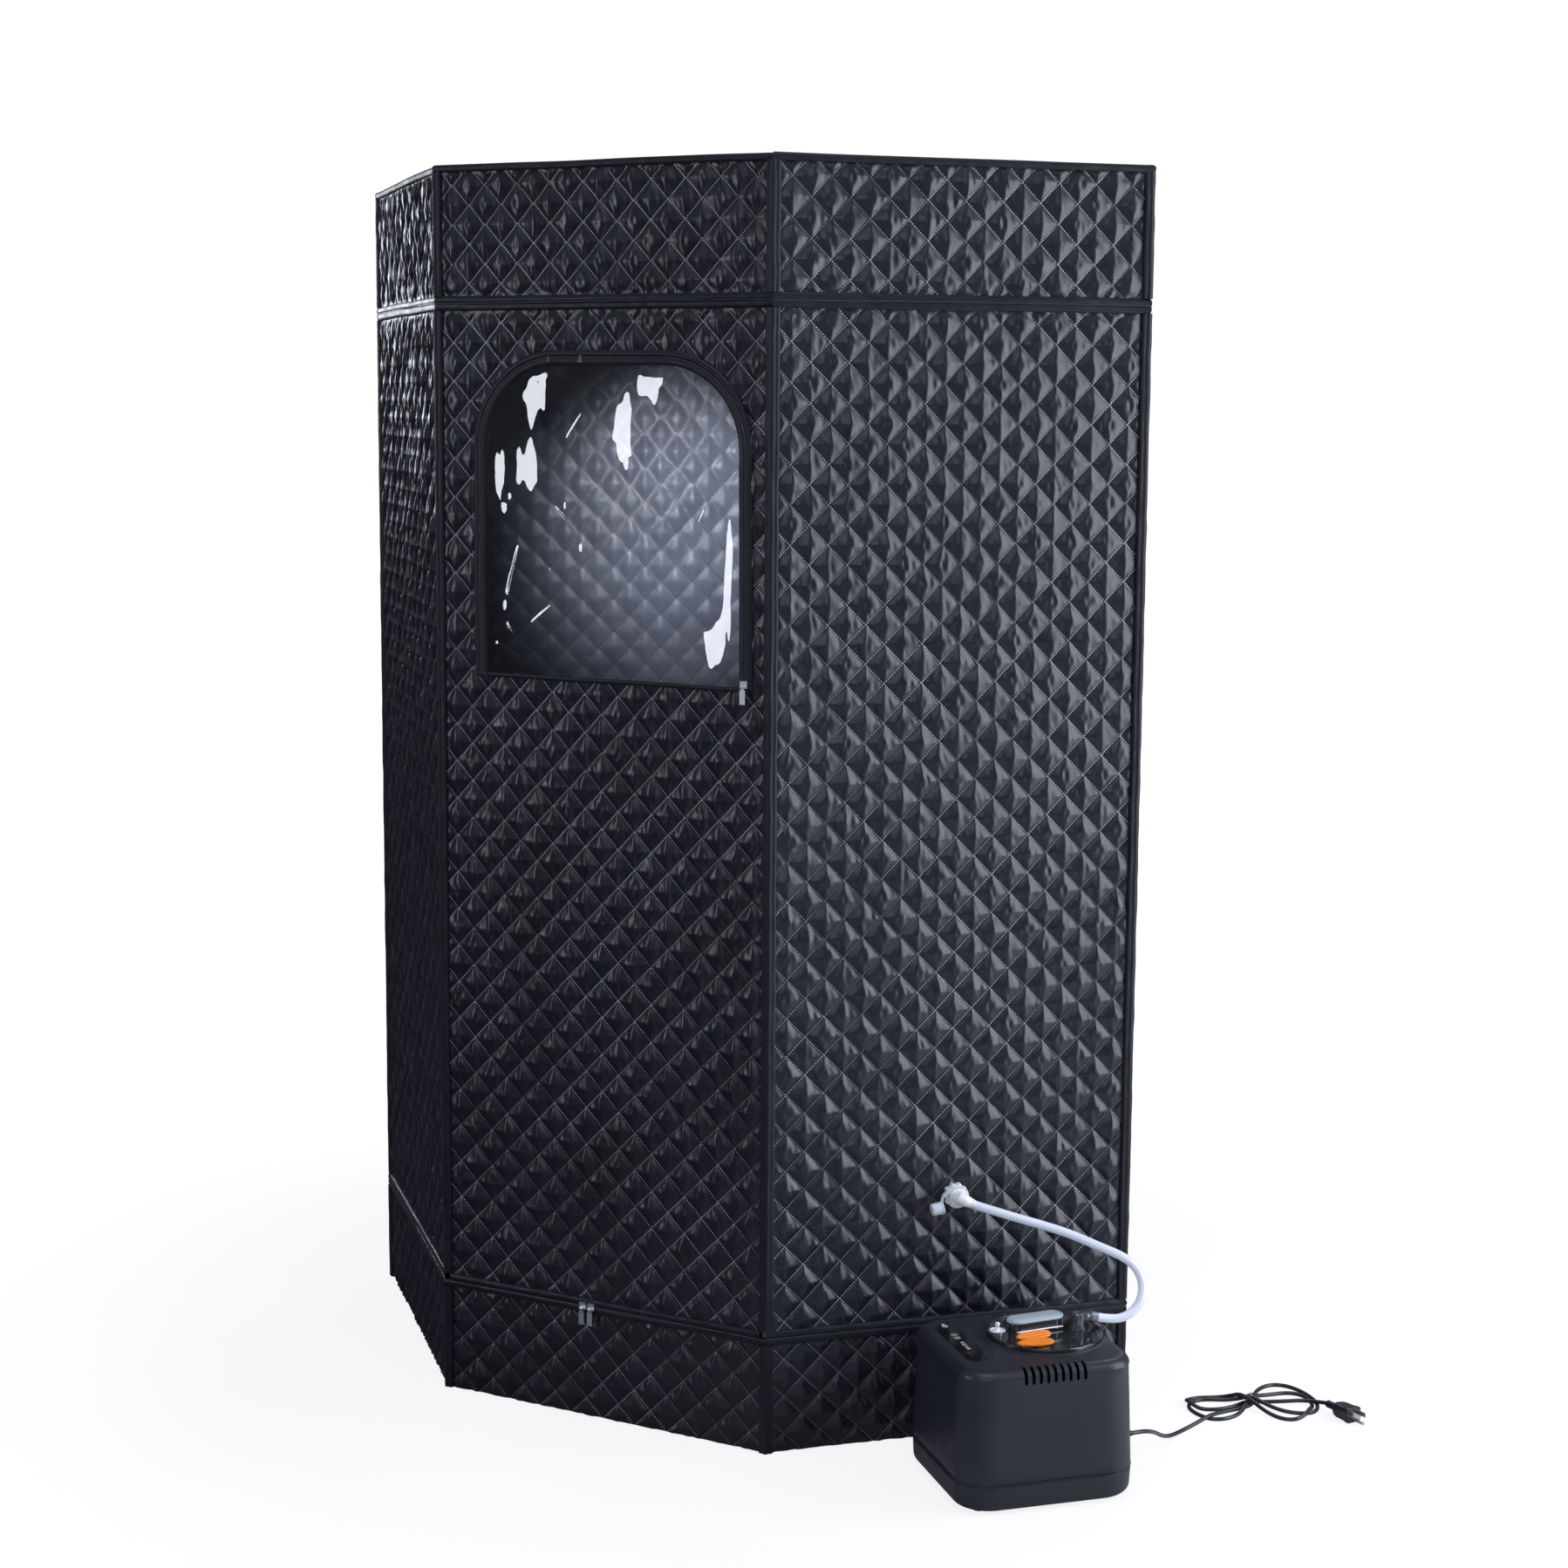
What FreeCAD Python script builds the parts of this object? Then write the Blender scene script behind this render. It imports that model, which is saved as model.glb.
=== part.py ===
import FreeCAD, Part
import math
import os
from FreeCAD import Placement, Rotation, Vector

# Portable steam sauna: a tall quilted cabin on a tube frame, with a steam generator beside it.
# The cabin is a square with one corner cut off; the door hangs across the cut.
# Working frame: X along the door from its left corner, Y into the cabin, Z up, millimetres.
# Everything is finally shifted so that the origin is under the middle of the whole set.

DIMENSIONS = {
    # cabin
    "cabin_height": 1800, "door_side": 545, "wall_thick": 6, "corner_arm": 9, "seam_gap": 0.3,
    "band_tall": 20, "band_proud": 1.5, "base_band_mid": 169, "roof_band_mid": 1608,
    "roof_thick": 5, "edge_tall": 8, "floor_thick": 3,
    # tube frame
    "tube_radius": 9.5, "bore_radius": 8, "spigot_radius": 7.9, "spigot_long": 46, "hub_radius": 11,
    "socket": 12, "pole_inset": 18, "low_rail": 15, "high_rail": 1783, "pole_split": 900,
    "sleeve_radius": 11.5, "sleeve_bore": 9.6, "sleeve_long": 64,
    # door and window
    "door_top_gap": 5, "window_mid": 290, "window_half": 208, "window_low": 1085, "window_tall": 438,
    "window_round": 120, "pane_thick": 1.5, "frame_wide": 18, "frame_thick": 2,
    # zip sliders and pulls
    "slider_long": 11, "slider_deep": 4, "slider_tall": 10, "ear_thick": 1.2, "pin_radius": 0.85,
    "barrel_radius": 1.9, "barrel_bore": 0.93, "barrel_long": 5, "pull_wide": 8.5,
    "pull_thick": 1.6, "pull_long": 24,
    # steam inlet
    "port_along": 278, "port_up": 358, "port_radius": 13.5, "port_bore": 9.2, "port_long": 39,
    "port_flange": 20, "nut_radius": 18, "nut_long": 15.5, "ring_thick": 1.6, "barb_radius": 6.25,
    "cap_radius": 9.3, "cap_long": 17,
    # steam generator
    "case_long": 255, "case_wide": 245, "case_top": 197, "case_seam": 40, "case_foot": 3,
    "case_round": 54, "case_edge": 15, "case_wall": 3, "mouth_radius": 78.2, "vent_wide": 4.6,
    "tank_radius": 73.5, "tank_wall": 1.2, "tank_low": 52, "flange_radius": 77.6, "foot_radius": 9,
    "plate_radius": 58, "plate_thick": 8, "lid_radius": 80, "lid_thick": 4, "lid_collar": 66,
    "box_long": 80, "box_wide": 24, "box_tall": 14, "box_wall": 1.8, "cap_over": 3, "cap_tall": 5,
    "valve_disc": 11, "valve_stem": 1.8, "valve_bore": 2.3, "outlet_radius": 8.5, "outlet_up": 217,
    "panel_long": 158, "panel_wide": 30, "panel_thick": 0.8, "key_radius": 5, "start_radius": 14,
    "key_gap": 0.4, "petal_long": 53, "petal_wide": 17, "petal_thick": 3.5, "hub_wide": 6,
    # hose and cord
    "hose_radius": 6.25, "cord_radius": 3, "hank_tall": 13, "hank_waist": 12, "boot_radius": 5.2,
    "tie_half": 16, "tie_long": 9, "tie_thick": 1.2,
    "plug_tall": 24, "plug_deep": 27, "plug_long": 38, "earth_radius": 2.4, "earth_long": 20,
    "blade_long": 17, "blade_thick": 1.5, "blade_wide": 6.3, "blade_gap": 12.7,
}

doc = FreeCAD.newDocument("steam_sauna")
sheet = doc.addObject("Spreadsheet::Sheet", "dims")
for row, (alias, value) in enumerate(DIMENSIONS.items(), start=1):
    sheet.set(f"A{row}", alias)
    sheet.set(f"B{row}", str(value))
    sheet.setAlias(f"B{row}", alias)
doc.recompute()


def dim(alias):
    """Value of one driving dimension."""
    return float(sheet.get(alias))


NO_TURN = Rotation()
ALONG_X = Rotation(Vector(0, 0, 1), Vector(1, 0, 0))
OUTWARD = Rotation(Vector(0, 0, 1), Vector(0, -1, 0))
parts = {}


# ---------------------------------------------------------------- general helpers

def bind(item, **sizes):
    """Tie an object's sizes to expressions on the spreadsheet."""
    for name, formula in sizes.items():
        item.setExpression(name, str(formula))
    return item


def box(length, width, height, place):
    item = doc.addObject("Part::Box", "Block")
    item.Placement = place
    return bind(item, Length=length, Width=width, Height=height)


def rod(radius, height, place):
    item = doc.addObject("Part::Cylinder", "Rod")
    item.Placement = place
    return bind(item, Radius=radius, Height=height)


def cone(radius_low, radius_high, height, place):
    item = doc.addObject("Part::Cone", "Cone")
    item.Placement = place
    return bind(item, Radius1=radius_low, Radius2=radius_high, Height=height)


def ball(radius, place):
    item = doc.addObject("Part::Sphere", "Ball")
    item.Placement = place
    return bind(item, Radius=radius)


def fuse(pieces):
    item = doc.addObject("Part::MultiFuse", "Join")
    item.Shapes = pieces
    return item


def cut(base, tool):
    item = doc.addObject("Part::Cut", "Cut")
    item.Base = base
    item.Tool = tool
    return item


def tube(radius, bore, length, place):
    """A round tube along the placement's own Z."""
    return cut(rod(radius, length, place), rod(bore, length, place))


def group(pieces):
    item = doc.addObject("Part::Compound", "Group")
    item.Links = pieces
    return item


def keep(name, item):
    """Name a finished sub-part; its label is also its file name."""
    item.Label = name
    parts[name] = item
    return item


# ---------------------------------------------------------------- cabin plan

SIDE = dim("door_side")
BACK_SIDE = SIDE * (1 + math.sqrt(0.5))
BACK_FORMULA = "dims.door_side * (1 + sqrt(0.5))"
REACH = SIDE * math.sqrt(0.5)

# name, start corner, heading, length, length formula, turn at start, turn at end
SIDES = {
    "front": ((0, 0), 0, SIDE, "dims.door_side", 45, 45),
    "right": ((SIDE, 0), 45, SIDE, "dims.door_side", 45, 90),
    "back_right": ((SIDE + REACH, REACH), 135, BACK_SIDE, BACK_FORMULA, 90, 90),
    "back_left": ((SIDE / 2, REACH + BACK_SIDE * math.sqrt(0.5)), 225, BACK_SIDE, BACK_FORMULA, 90, 90),
    "left": ((-REACH, REACH), 315, SIDE, "dims.door_side", 90, 45),
}
MITRE = {45: math.tan(math.radians(22.5)), 90: 1.0}
MITRE_FORMULA = {45: "tan(22.5 deg)", 90: "1"}

# steam generator, parallel to the right wall and 48 mm away from it
CASE_ALONG = 317.5
CASE_OUT = 170.5
OUTER_CORNER = (dim("case_long") / 2 + dim("case_wide") / 2 - 2 * dim("case_round")) * math.sqrt(0.5)
CASE_HALF = OUTER_CORNER + dim("case_round")
CASE_X = SIDE + (CASE_ALONG + CASE_OUT) * math.sqrt(0.5)
CASE_Y = (CASE_ALONG - CASE_OUT) * math.sqrt(0.5)

# the origin lies under the middle of cabin and generator together
CORNER_PROUD = dim("band_proud") * math.sqrt(2)
LEFT_END = -REACH - CORNER_PROUD
BACK_END = REACH + BACK_SIDE * math.sqrt(0.5) + CORNER_PROUD
SHIFT = Vector(-(LEFT_END + CASE_X + CASE_HALF) / 2, -(BACK_END + CASE_Y - CASE_HALF) / 2, 0)


def floor_at(x, y, z=0.0, turn=NO_TURN):
    """Placement given in the working frame of the door."""
    return Placement(Vector(x, y, z) + SHIFT, turn)


def wall_at(side, along, inward, z, turn=NO_TURN):
    """Placement in a wall's own frame: X along it, Y into the cabin, Z up."""
    (x, y), heading = SIDES[side][:2]
    return floor_at(x, y, 0, Rotation(Vector(0, 0, 1), heading)) * Placement(Vector(along, inward, z), turn)


def case_at(u, v, z, turn=NO_TURN):
    """Placement in the generator's frame: X along its front, Y towards the cabin wall."""
    return floor_at(CASE_X, CASE_Y, 0, Rotation(Vector(0, 0, 1), 45)) * Placement(Vector(u, v, z), turn)


def mitred_slab(side, outward, inward, low, tall):
    """One straight stretch of a band round the cabin, mitred at both corners."""
    start, end = (MITRE_FORMULA[turn] for turn in SIDES[side][4:])
    length = SIDES[side][3]
    slab = doc.addObject("Part::Wedge", "Slab")
    slab.Placement = wall_at(side, 0, 0, 0)
    return bind(
        slab,
        Ymin=f"-({outward})", Ymax=inward, Zmin=low, Z2min=low, Zmax=f"{low} + {tall}", Z2max=f"{low} + {tall}",
        Xmin=f"-({outward}) * {start}", X2min=f"({inward}) * {start}",
        Xmax=f"{length} + ({outward}) * {end}", X2max=f"{length} - ({inward}) * {end}",
    )


def flat_slab(side, low, tall):
    """A wall panel that stops short of the corner bindings."""
    inset = "dims.corner_arm + dims.seam_gap"
    place = wall_at(side, dim("corner_arm") + dim("seam_gap"), 0, 0)
    slab = box(f"{SIDES[side][3]} - 2 * ({inset})", "dims.wall_thick", tall, place)
    slab.setExpression("Placement.Base.z", low)
    return slab


def corner_strip(side, low, tall):
    """The binding that wraps the corner where a side starts, as two mitred arms in one piece."""
    turn = SIDES[side][4]
    slope = MITRE_FORMULA[turn]
    names = list(SIDES)
    before = names[names.index(side) - 1]
    arms = []
    for wall, sign in ((side, 1), (before, -1)):
        arm = doc.addObject("Part::Wedge", "Arm")
        arm.Placement = wall_at(wall, 0, 0, 0)
        corner = "0" if sign == 1 else SIDES[wall][3]
        tip = f"{corner} + {sign} * dims.corner_arm"
        outer = f"{corner} - {sign} * dims.band_proud * {slope}"
        inner = f"{corner} + {sign} * dims.wall_thick * {slope}"
        limits = {"Xmin": outer, "Xmax": tip, "X2min": inner, "X2max": tip}
        if sign == -1:
            limits = {"Xmin": tip, "Xmax": outer, "X2min": tip, "X2max": inner}
        bind(
            arm,
            Ymin="-dims.band_proud", Ymax="dims.wall_thick", Zmin=low, Z2min=low,
            Zmax=f"{low} + {tall}", Z2max=f"{low} + {tall}", **limits,
        )
        arms.append(arm)
    return fuse(arms)


# ---------------------------------------------------------------- levels up the wall

BASE_BAND_LOW = "dims.base_band_mid - dims.band_tall / 2"
BASE_BAND_HIGH = "dims.base_band_mid + dims.band_tall / 2"
ROOF_BAND_LOW = "dims.roof_band_mid - dims.band_tall / 2"
ROOF_BAND_HIGH = "dims.roof_band_mid + dims.band_tall / 2"
EDGE_LOW = "dims.cabin_height - dims.edge_tall"
WALL_LOW = f"{BASE_BAND_HIGH} + dims.seam_gap"
WALL_TALL = f"{ROOF_BAND_LOW} - ({BASE_BAND_HIGH}) - 2 * dims.seam_gap"
HEADER_LOW = f"{ROOF_BAND_HIGH} + dims.seam_gap"
HEADER_TALL = f"{EDGE_LOW} - ({ROOF_BAND_HIGH}) - 2 * dims.seam_gap"
BASE_TALL = f"{BASE_BAND_LOW} - dims.seam_gap"


# ---------------------------------------------------------------- quilted shell

def make_walls():
    for side in ("left", "back_left", "back_right"):
        keep(f"{side}_wall", flat_slab(side, WALL_LOW, WALL_TALL))
    solid = flat_slab("right", WALL_LOW, WALL_TALL)
    hole = rod("dims.port_radius + dims.seam_gap", "3 * dims.wall_thick",
               wall_at("right", dim("port_along"), 2 * dim("wall_thick"), dim("port_up"), OUTWARD))
    keep("right_wall", cut(solid, hole))
    keep("base_panels", group([flat_slab(side, "0", BASE_TALL) for side in SIDES]))
    keep("header_panels", group([flat_slab(side, HEADER_LOW, HEADER_TALL) for side in SIDES]))


def make_bindings():
    runs = (("0", BASE_TALL), (WALL_LOW, WALL_TALL), (HEADER_LOW, HEADER_TALL))
    strips = [corner_strip(side, low, tall) for side in SIDES for low, tall in runs]
    keep("corner_bindings", group(strips))
    edge = [mitred_slab(side, "0", "dims.edge_tall", EDGE_LOW, "dims.edge_tall") for side in SIDES]
    keep("roof_edge_binding", group(edge))


def make_bands():
    proud = "dims.band_proud"
    thick = "dims.wall_thick"
    roof = [mitred_slab(side, proud, thick, ROOF_BAND_LOW, "dims.band_tall") for side in SIDES]
    keep("roof_zip_band", group(roof))
    base = [mitred_slab(side, proud, thick, BASE_BAND_LOW, "dims.band_tall") for side in SIDES if side != "front"]
    half = "dims.band_tall / 2 - dims.seam_gap"
    base.append(mitred_slab("front", proud, thick, BASE_BAND_LOW, half))
    keep("base_zip_band", group(base))
    inset = dim("corner_arm") + dim("seam_gap")
    tape = box("dims.door_side - 2 * (dims.corner_arm + dims.seam_gap)", f"{thick} + {proud}", half,
               wall_at("front", inset, -dim("band_proud"), dim("base_band_mid") + dim("seam_gap")))
    keep("door_zip_tape", tape)


def pentagon_sheet(inset, thick, low):
    """A flat sheet with the cabin's plan, drawn as a closed sketch and padded."""
    corners = []
    for (x, y), heading, _, _, turn, _ in SIDES.values():
        bisector = math.radians(heading + 90 - turn / 2)
        reach = inset / math.cos(math.radians(turn / 2))
        corners.append(Vector(x + reach * math.cos(bisector), y + reach * math.sin(bisector), 0))
    body = doc.addObject("PartDesign::Body", "Sheet")
    sketch = body.newObject("Sketcher::SketchObject", "Plan")
    plane = next(item for item in body.Origin.OriginFeatures if item.Role == "XY_Plane")
    sketch.AttachmentSupport = [(plane, "")]
    sketch.MapMode = "FlatFace"
    for start, end in zip(corners, corners[1:] + corners[:1]):
        sketch.addGeometry(Part.LineSegment(start, end), False)
    pad = body.newObject("PartDesign::Pad", "Thickness")
    pad.Profile = sketch
    pad.setExpression("Length", thick)
    body.Placement = floor_at(0, 0, low)
    return body


def make_sheets():
    roof_low = dim("cabin_height") - dim("roof_thick")
    keep("roof_panel", pentagon_sheet(dim("edge_tall") + dim("seam_gap"), "dims.roof_thick", roof_low))
    keep("floor_sheet", pentagon_sheet(dim("wall_thick") + dim("seam_gap"), "dims.floor_thick", 0))


# ---------------------------------------------------------------- door and window

def arch(half, tall, round_, thick, place):
    """An arched plate: straight sides and a flat top joined by two large corner arcs."""
    flat = box(f"2 * ({half})", thick, f"{tall} - ({round_})", place)
    flat.setExpression("Placement.Base.x", f"{place.Base.x} - ({half})")
    crown = box(f"2 * ({half} - ({round_}))", thick, tall, place)
    crown.setExpression("Placement.Base.x", f"{place.Base.x} - ({half} - ({round_}))")
    pieces = [flat, crown]
    for sign in (-1, 1):
        corner = rod(round_, thick, Placement(place.Base, Rotation(Vector(0, 0, 1), Vector(0, 1, 0))))
        corner.setExpression("Placement.Base.x", f"{place.Base.x} + {sign} * ({half} - ({round_}))")
        corner.setExpression("Placement.Base.z", f"{place.Base.z} + {tall} - ({round_})")
        pieces.append(corner)
    return fuse(pieces)


def make_door():
    middle = dim("window_mid")
    low = dim("window_low")
    gap = dim("seam_gap")
    inner = ("dims.window_half", "dims.window_tall", "dims.window_round")
    panel = flat_slab("front", WALL_LOW, f"{WALL_TALL} - dims.door_top_gap + dims.seam_gap")
    hole = arch(*inner, "3 * dims.wall_thick", wall_at("front", middle, -dim("wall_thick"), low))
    keep("door_panel", cut(panel, hole))

    wide = "dims.frame_wide"
    outside = arch(f"dims.window_half + {wide}", f"dims.window_tall + {wide}", f"dims.window_round + {wide}",
                   "dims.frame_thick", wall_at("front", middle, -dim("frame_thick"), low))
    inside = arch("dims.window_half + dims.seam_gap", "dims.window_tall + 2 * dims.seam_gap",
                  "dims.window_round + dims.seam_gap", "2 * dims.frame_thick",
                  wall_at("front", middle, -1.5 * dim("frame_thick"), low - gap))
    keep("window_frame", cut(outside, inside))

    thick = dim("pane_thick")
    keep("window_pane", arch(*inner, "dims.pane_thick", wall_at("front", middle, -thick - gap, low)))


def slider(along, z, proud):
    """Zip slider: a block with two ears that carry the pull's pin."""
    front = -dim(proud) - dim("seam_gap") - dim("slider_deep")
    pin_out = front - 2.4
    pin_up = z - 3
    body = box("dims.slider_long", "dims.slider_deep", "dims.slider_tall",
               wall_at("front", along - dim("slider_long") / 2, front, z - dim("slider_tall") / 2))
    pieces = [body, rod("dims.pin_radius", "8", wall_at("front", along - 4, pin_out, pin_up, ALONG_X))]
    for edge in (-4, 4 - dim("ear_thick")):
        pieces.append(box("dims.ear_thick", "4", "3", wall_at("front", along + edge, pin_out - 1.4, pin_up - 1.5)))
    return fuse(pieces), (along, pin_out, pin_up)


def pull(pin):
    """Zip pull: a barrel on the slider's pin, a neck and a flat tab."""
    along, out, up = pin
    barrel = rod("dims.barrel_radius", "dims.barrel_long",
                 wall_at("front", along - dim("barrel_long") / 2, out, up, ALONG_X))
    half = dim("pull_thick") / 2
    neck = box("4", "dims.pull_thick", "5", wall_at("front", along - 2, out - half, up - 5))
    tab = box("dims.pull_wide", "dims.pull_thick", "dims.pull_long - 4",
              wall_at("front", along - dim("pull_wide") / 2, out - half, up - dim("pull_long")))
    bore = rod("dims.barrel_bore", "12", wall_at("front", along - 6, out, up, ALONG_X))
    return cut(fuse([barrel, neck, tab]), bore)


def make_sliders():
    places = {
        "door_left": (244, dim("base_band_mid"), "band_proud"),
        "door_right": (258, dim("base_band_mid"), "band_proud"),
        "window": (dim("window_mid") + dim("window_half") + 8.5, dim("window_low") + 6, "frame_thick"),
    }
    for name, (along, z, proud) in places.items():
        block, pin = slider(along, z, proud)
        keep(f"{name}_slider", block)
        keep(f"{name}_pull", pull(pin))


# ---------------------------------------------------------------- tube frame

def frame_corners():
    """Pole centres: the cabin's plan moved in by the pole inset, with the two wall headings."""
    inset = dim("pole_inset")
    for side, ((x, y), heading, _, _, turn, _) in SIDES.items():
        bisector = math.radians(heading + 90 - turn / 2)
        reach = inset / math.cos(math.radians(turn / 2))
        yield side, x + reach * math.cos(bisector), y + reach * math.sin(bisector), heading, turn


def make_frame():
    poles, sleeves, rails, hubs = [], [], [], []
    for side, x, y, heading, turn in frame_corners():
        lower = "dims.pole_split - dims.low_rail - dims.socket - 0.5"
        upper = "dims.high_rail - dims.socket - dims.pole_split - 0.5"
        poles.append(tube("dims.tube_radius", "dims.bore_radius", lower,
                          floor_at(x, y, dim("low_rail") + dim("socket"))))
        poles.append(tube("dims.tube_radius", "dims.bore_radius", upper, floor_at(x, y, dim("pole_split") + 0.5)))
        sleeves.append(tube("dims.sleeve_radius", "dims.sleeve_bore", "dims.sleeve_long",
                            floor_at(x, y, dim("pole_split") - dim("sleeve_long") / 2)))
        start, end = (MITRE_FORMULA[angle] for angle in SIDES[side][4:])
        length = f"{SIDES[side][3]} - dims.pole_inset * ({start} + {end}) - 2 * dims.socket"
        first = dim("pole_inset") * MITRE[turn] + dim("socket")
        for level, up in (("low_rail", 1), ("high_rail", -1)):
            rails.append(tube("dims.tube_radius", "dims.bore_radius", length,
                              wall_at(side, first, dim("pole_inset"), dim(level), ALONG_X)))
            centre = floor_at(x, y, dim(level))
            headings = (Vector(0, 0, up), direction(heading), direction(heading - turn + 180))
            arms = [rod("dims.spigot_radius", "dims.spigot_long",
                        Placement(centre.Base, Rotation(Vector(0, 0, 1), way))) for way in headings]
            hubs.append(fuse([ball("dims.hub_radius", centre)] + arms))
    keep("frame_poles", group(poles))
    keep("pole_sleeves", group(sleeves))
    keep("frame_rails", group(rails))
    keep("corner_connectors", group(hubs))


def direction(heading):
    angle = math.radians(heading)
    return Vector(math.cos(angle), math.sin(angle), 0)


# ---------------------------------------------------------------- steam inlet

ELBOW_OUT = 27
NECK_OUT = 19
# unit direction of the hose where it leaves the elbow: along the wall, inward, up
HOSE_START = Vector(0.88, -0.28, -0.38).normalize()
BARB_LONG = 24
# the cap's strap: degrees from the wall's own direction, and the reach of the cap's middle from the inlet's axis;
# the cap lies on its side, turned a little from the strap
CAP_HEADING = 205
CAP_REACH = 35
CAP_TURN = -17


def make_inlet():
    along, up = dim("port_along"), dim("port_up")

    def port(inward, turn=OUTWARD):
        return wall_at("right", along, inward, up, turn)

    inside_end = dim("port_long") - NECK_OUT
    body = fuse([
        rod("dims.port_radius", "dims.port_long", port(inside_end)),
        rod("dims.port_flange", "2.5", port(dim("wall_thick") + 0.2 + 2.5)),
    ])
    keep("inlet_body", cut(body, rod("dims.port_bore", "dims.port_long + 2", port(inside_end + 1))))

    ring = rod("dims.nut_radius - 0.9", "dims.nut_long", port(-0.2))
    ribs = []
    for step in range(16):
        rib = box("2.2", "dims.nut_radius * 2", "dims.nut_long",
                  port(-0.2) * Placement(Vector(), Rotation(Vector(0, 0, 1), step * 11.25))
                  * Placement(Vector(-1.1, -dim("nut_radius"), 0), NO_TURN))
        ribs.append(rib)
    nut = cut(fuse([ring] + ribs), rod("dims.port_radius + 0.1", "40", port(10)))
    keep("inlet_nut", nut)

    centre = port(-ELBOW_OUT, NO_TURN)
    toward = Rotation(Vector(0, 0, 1), HOSE_START)
    elbow = fuse([
        rod("dims.port_bore - 0.2", "20", port(-ELBOW_OUT + 20)),
        ball("dims.port_bore - 0.2", centre),
        cone("dims.port_bore - 0.6", "dims.barb_radius", str(BARB_LONG), centre * Placement(Vector(), toward)),
    ])
    keep("inlet_elbow", elbow)

    # one moulding: a ring that grips the neck, a strap and the cap that hangs from it
    ring_at = port(-dim("nut_long") - 0.6)
    strap_turn = Rotation(Vector(0, 0, 1), CAP_HEADING)
    ring = rod("dims.port_radius + 2.8", "dims.ring_thick", ring_at)
    strap = box(f"{CAP_REACH} - dims.cap_long / 2 + 2", "6", "dims.ring_thick", ring_at * Placement(Vector(), strap_turn)
                * Placement(Vector(0, -3, 0), NO_TURN))
    neck_hole = rod("dims.port_radius + 0.3", "30", port(0))
    cap = rod("dims.cap_radius", "dims.cap_long", ring_at * Placement(Vector(), strap_turn)
              * Placement(Vector(CAP_REACH, 0, dim("ring_thick") / 2), Rotation(Vector(0, 0, 1), CAP_TURN))
              * Placement(Vector(-dim("cap_long") / 2, 0, 0), ALONG_X))
    keep("inlet_cap", fuse([cut(fuse([ring, strap]), neck_hole), cap]))


# ---------------------------------------------------------------- steam generator

def rounded_block(length, width, corner, low, high, top_edge=None):
    """A block with round upright edges and, where asked, a rounded top edge."""
    body = doc.addObject("PartDesign::Body", "Case")
    sketch = body.newObject("Sketcher::SketchObject", "Outline")
    plane = next(item for item in body.Origin.OriginFeatures if item.Role == "XY_Plane")
    sketch.AttachmentSupport = [(plane, "")]
    sketch.MapMode = "FlatFace"
    x, y = length / 2, width / 2
    corners = [Vector(-x, -y, 0), Vector(x, -y, 0), Vector(x, y, 0), Vector(-x, y, 0)]
    for start, end in zip(corners, corners[1:] + corners[:1]):
        sketch.addGeometry(Part.LineSegment(start, end), False)
    pad = body.newObject("PartDesign::Pad", "Height")
    pad.Profile = sketch
    pad.setExpression("Length", f"({high}) - ({low})")
    doc.recompute()
    upright = [f"Edge{n}" for n, edge in enumerate(pad.Shape.Edges, start=1)
               if abs(edge.tangentAt(edge.FirstParameter).z) > 0.9]
    rounded = body.newObject("PartDesign::Fillet", "Corners")
    rounded.Base = (pad, upright)
    rounded.setExpression("Radius", corner)
    doc.recompute()
    if top_edge:
        top = rounded.Shape.BoundBox.ZMax
        loop = [f"Edge{n}" for n, edge in enumerate(rounded.Shape.Edges, start=1)
                if edge.BoundBox.ZMin > top - 0.01]
        soft = body.newObject("PartDesign::Fillet", "TopEdge")
        soft.Base = (rounded, loop[:1])
        soft.setExpression("Radius", top_edge)
        body.Tip = soft
        doc.recompute()
    body.Placement = case_at(0, 0, 0)
    body.setExpression("Placement.Base.z", low)
    return body


LID_X, LID_Y = 38, 12
VENTS = [2 + 10.65 * (n - 4) for n in range(9)]
GLAND_V, GLAND_UP = -45, 63
KEYS = {"power_key": 75, "timer_key": -2, "heat_key": -19}
PANEL_U, PANEL_V = -86, 14
START_V = -46
DISPLAY_V = 32


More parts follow.
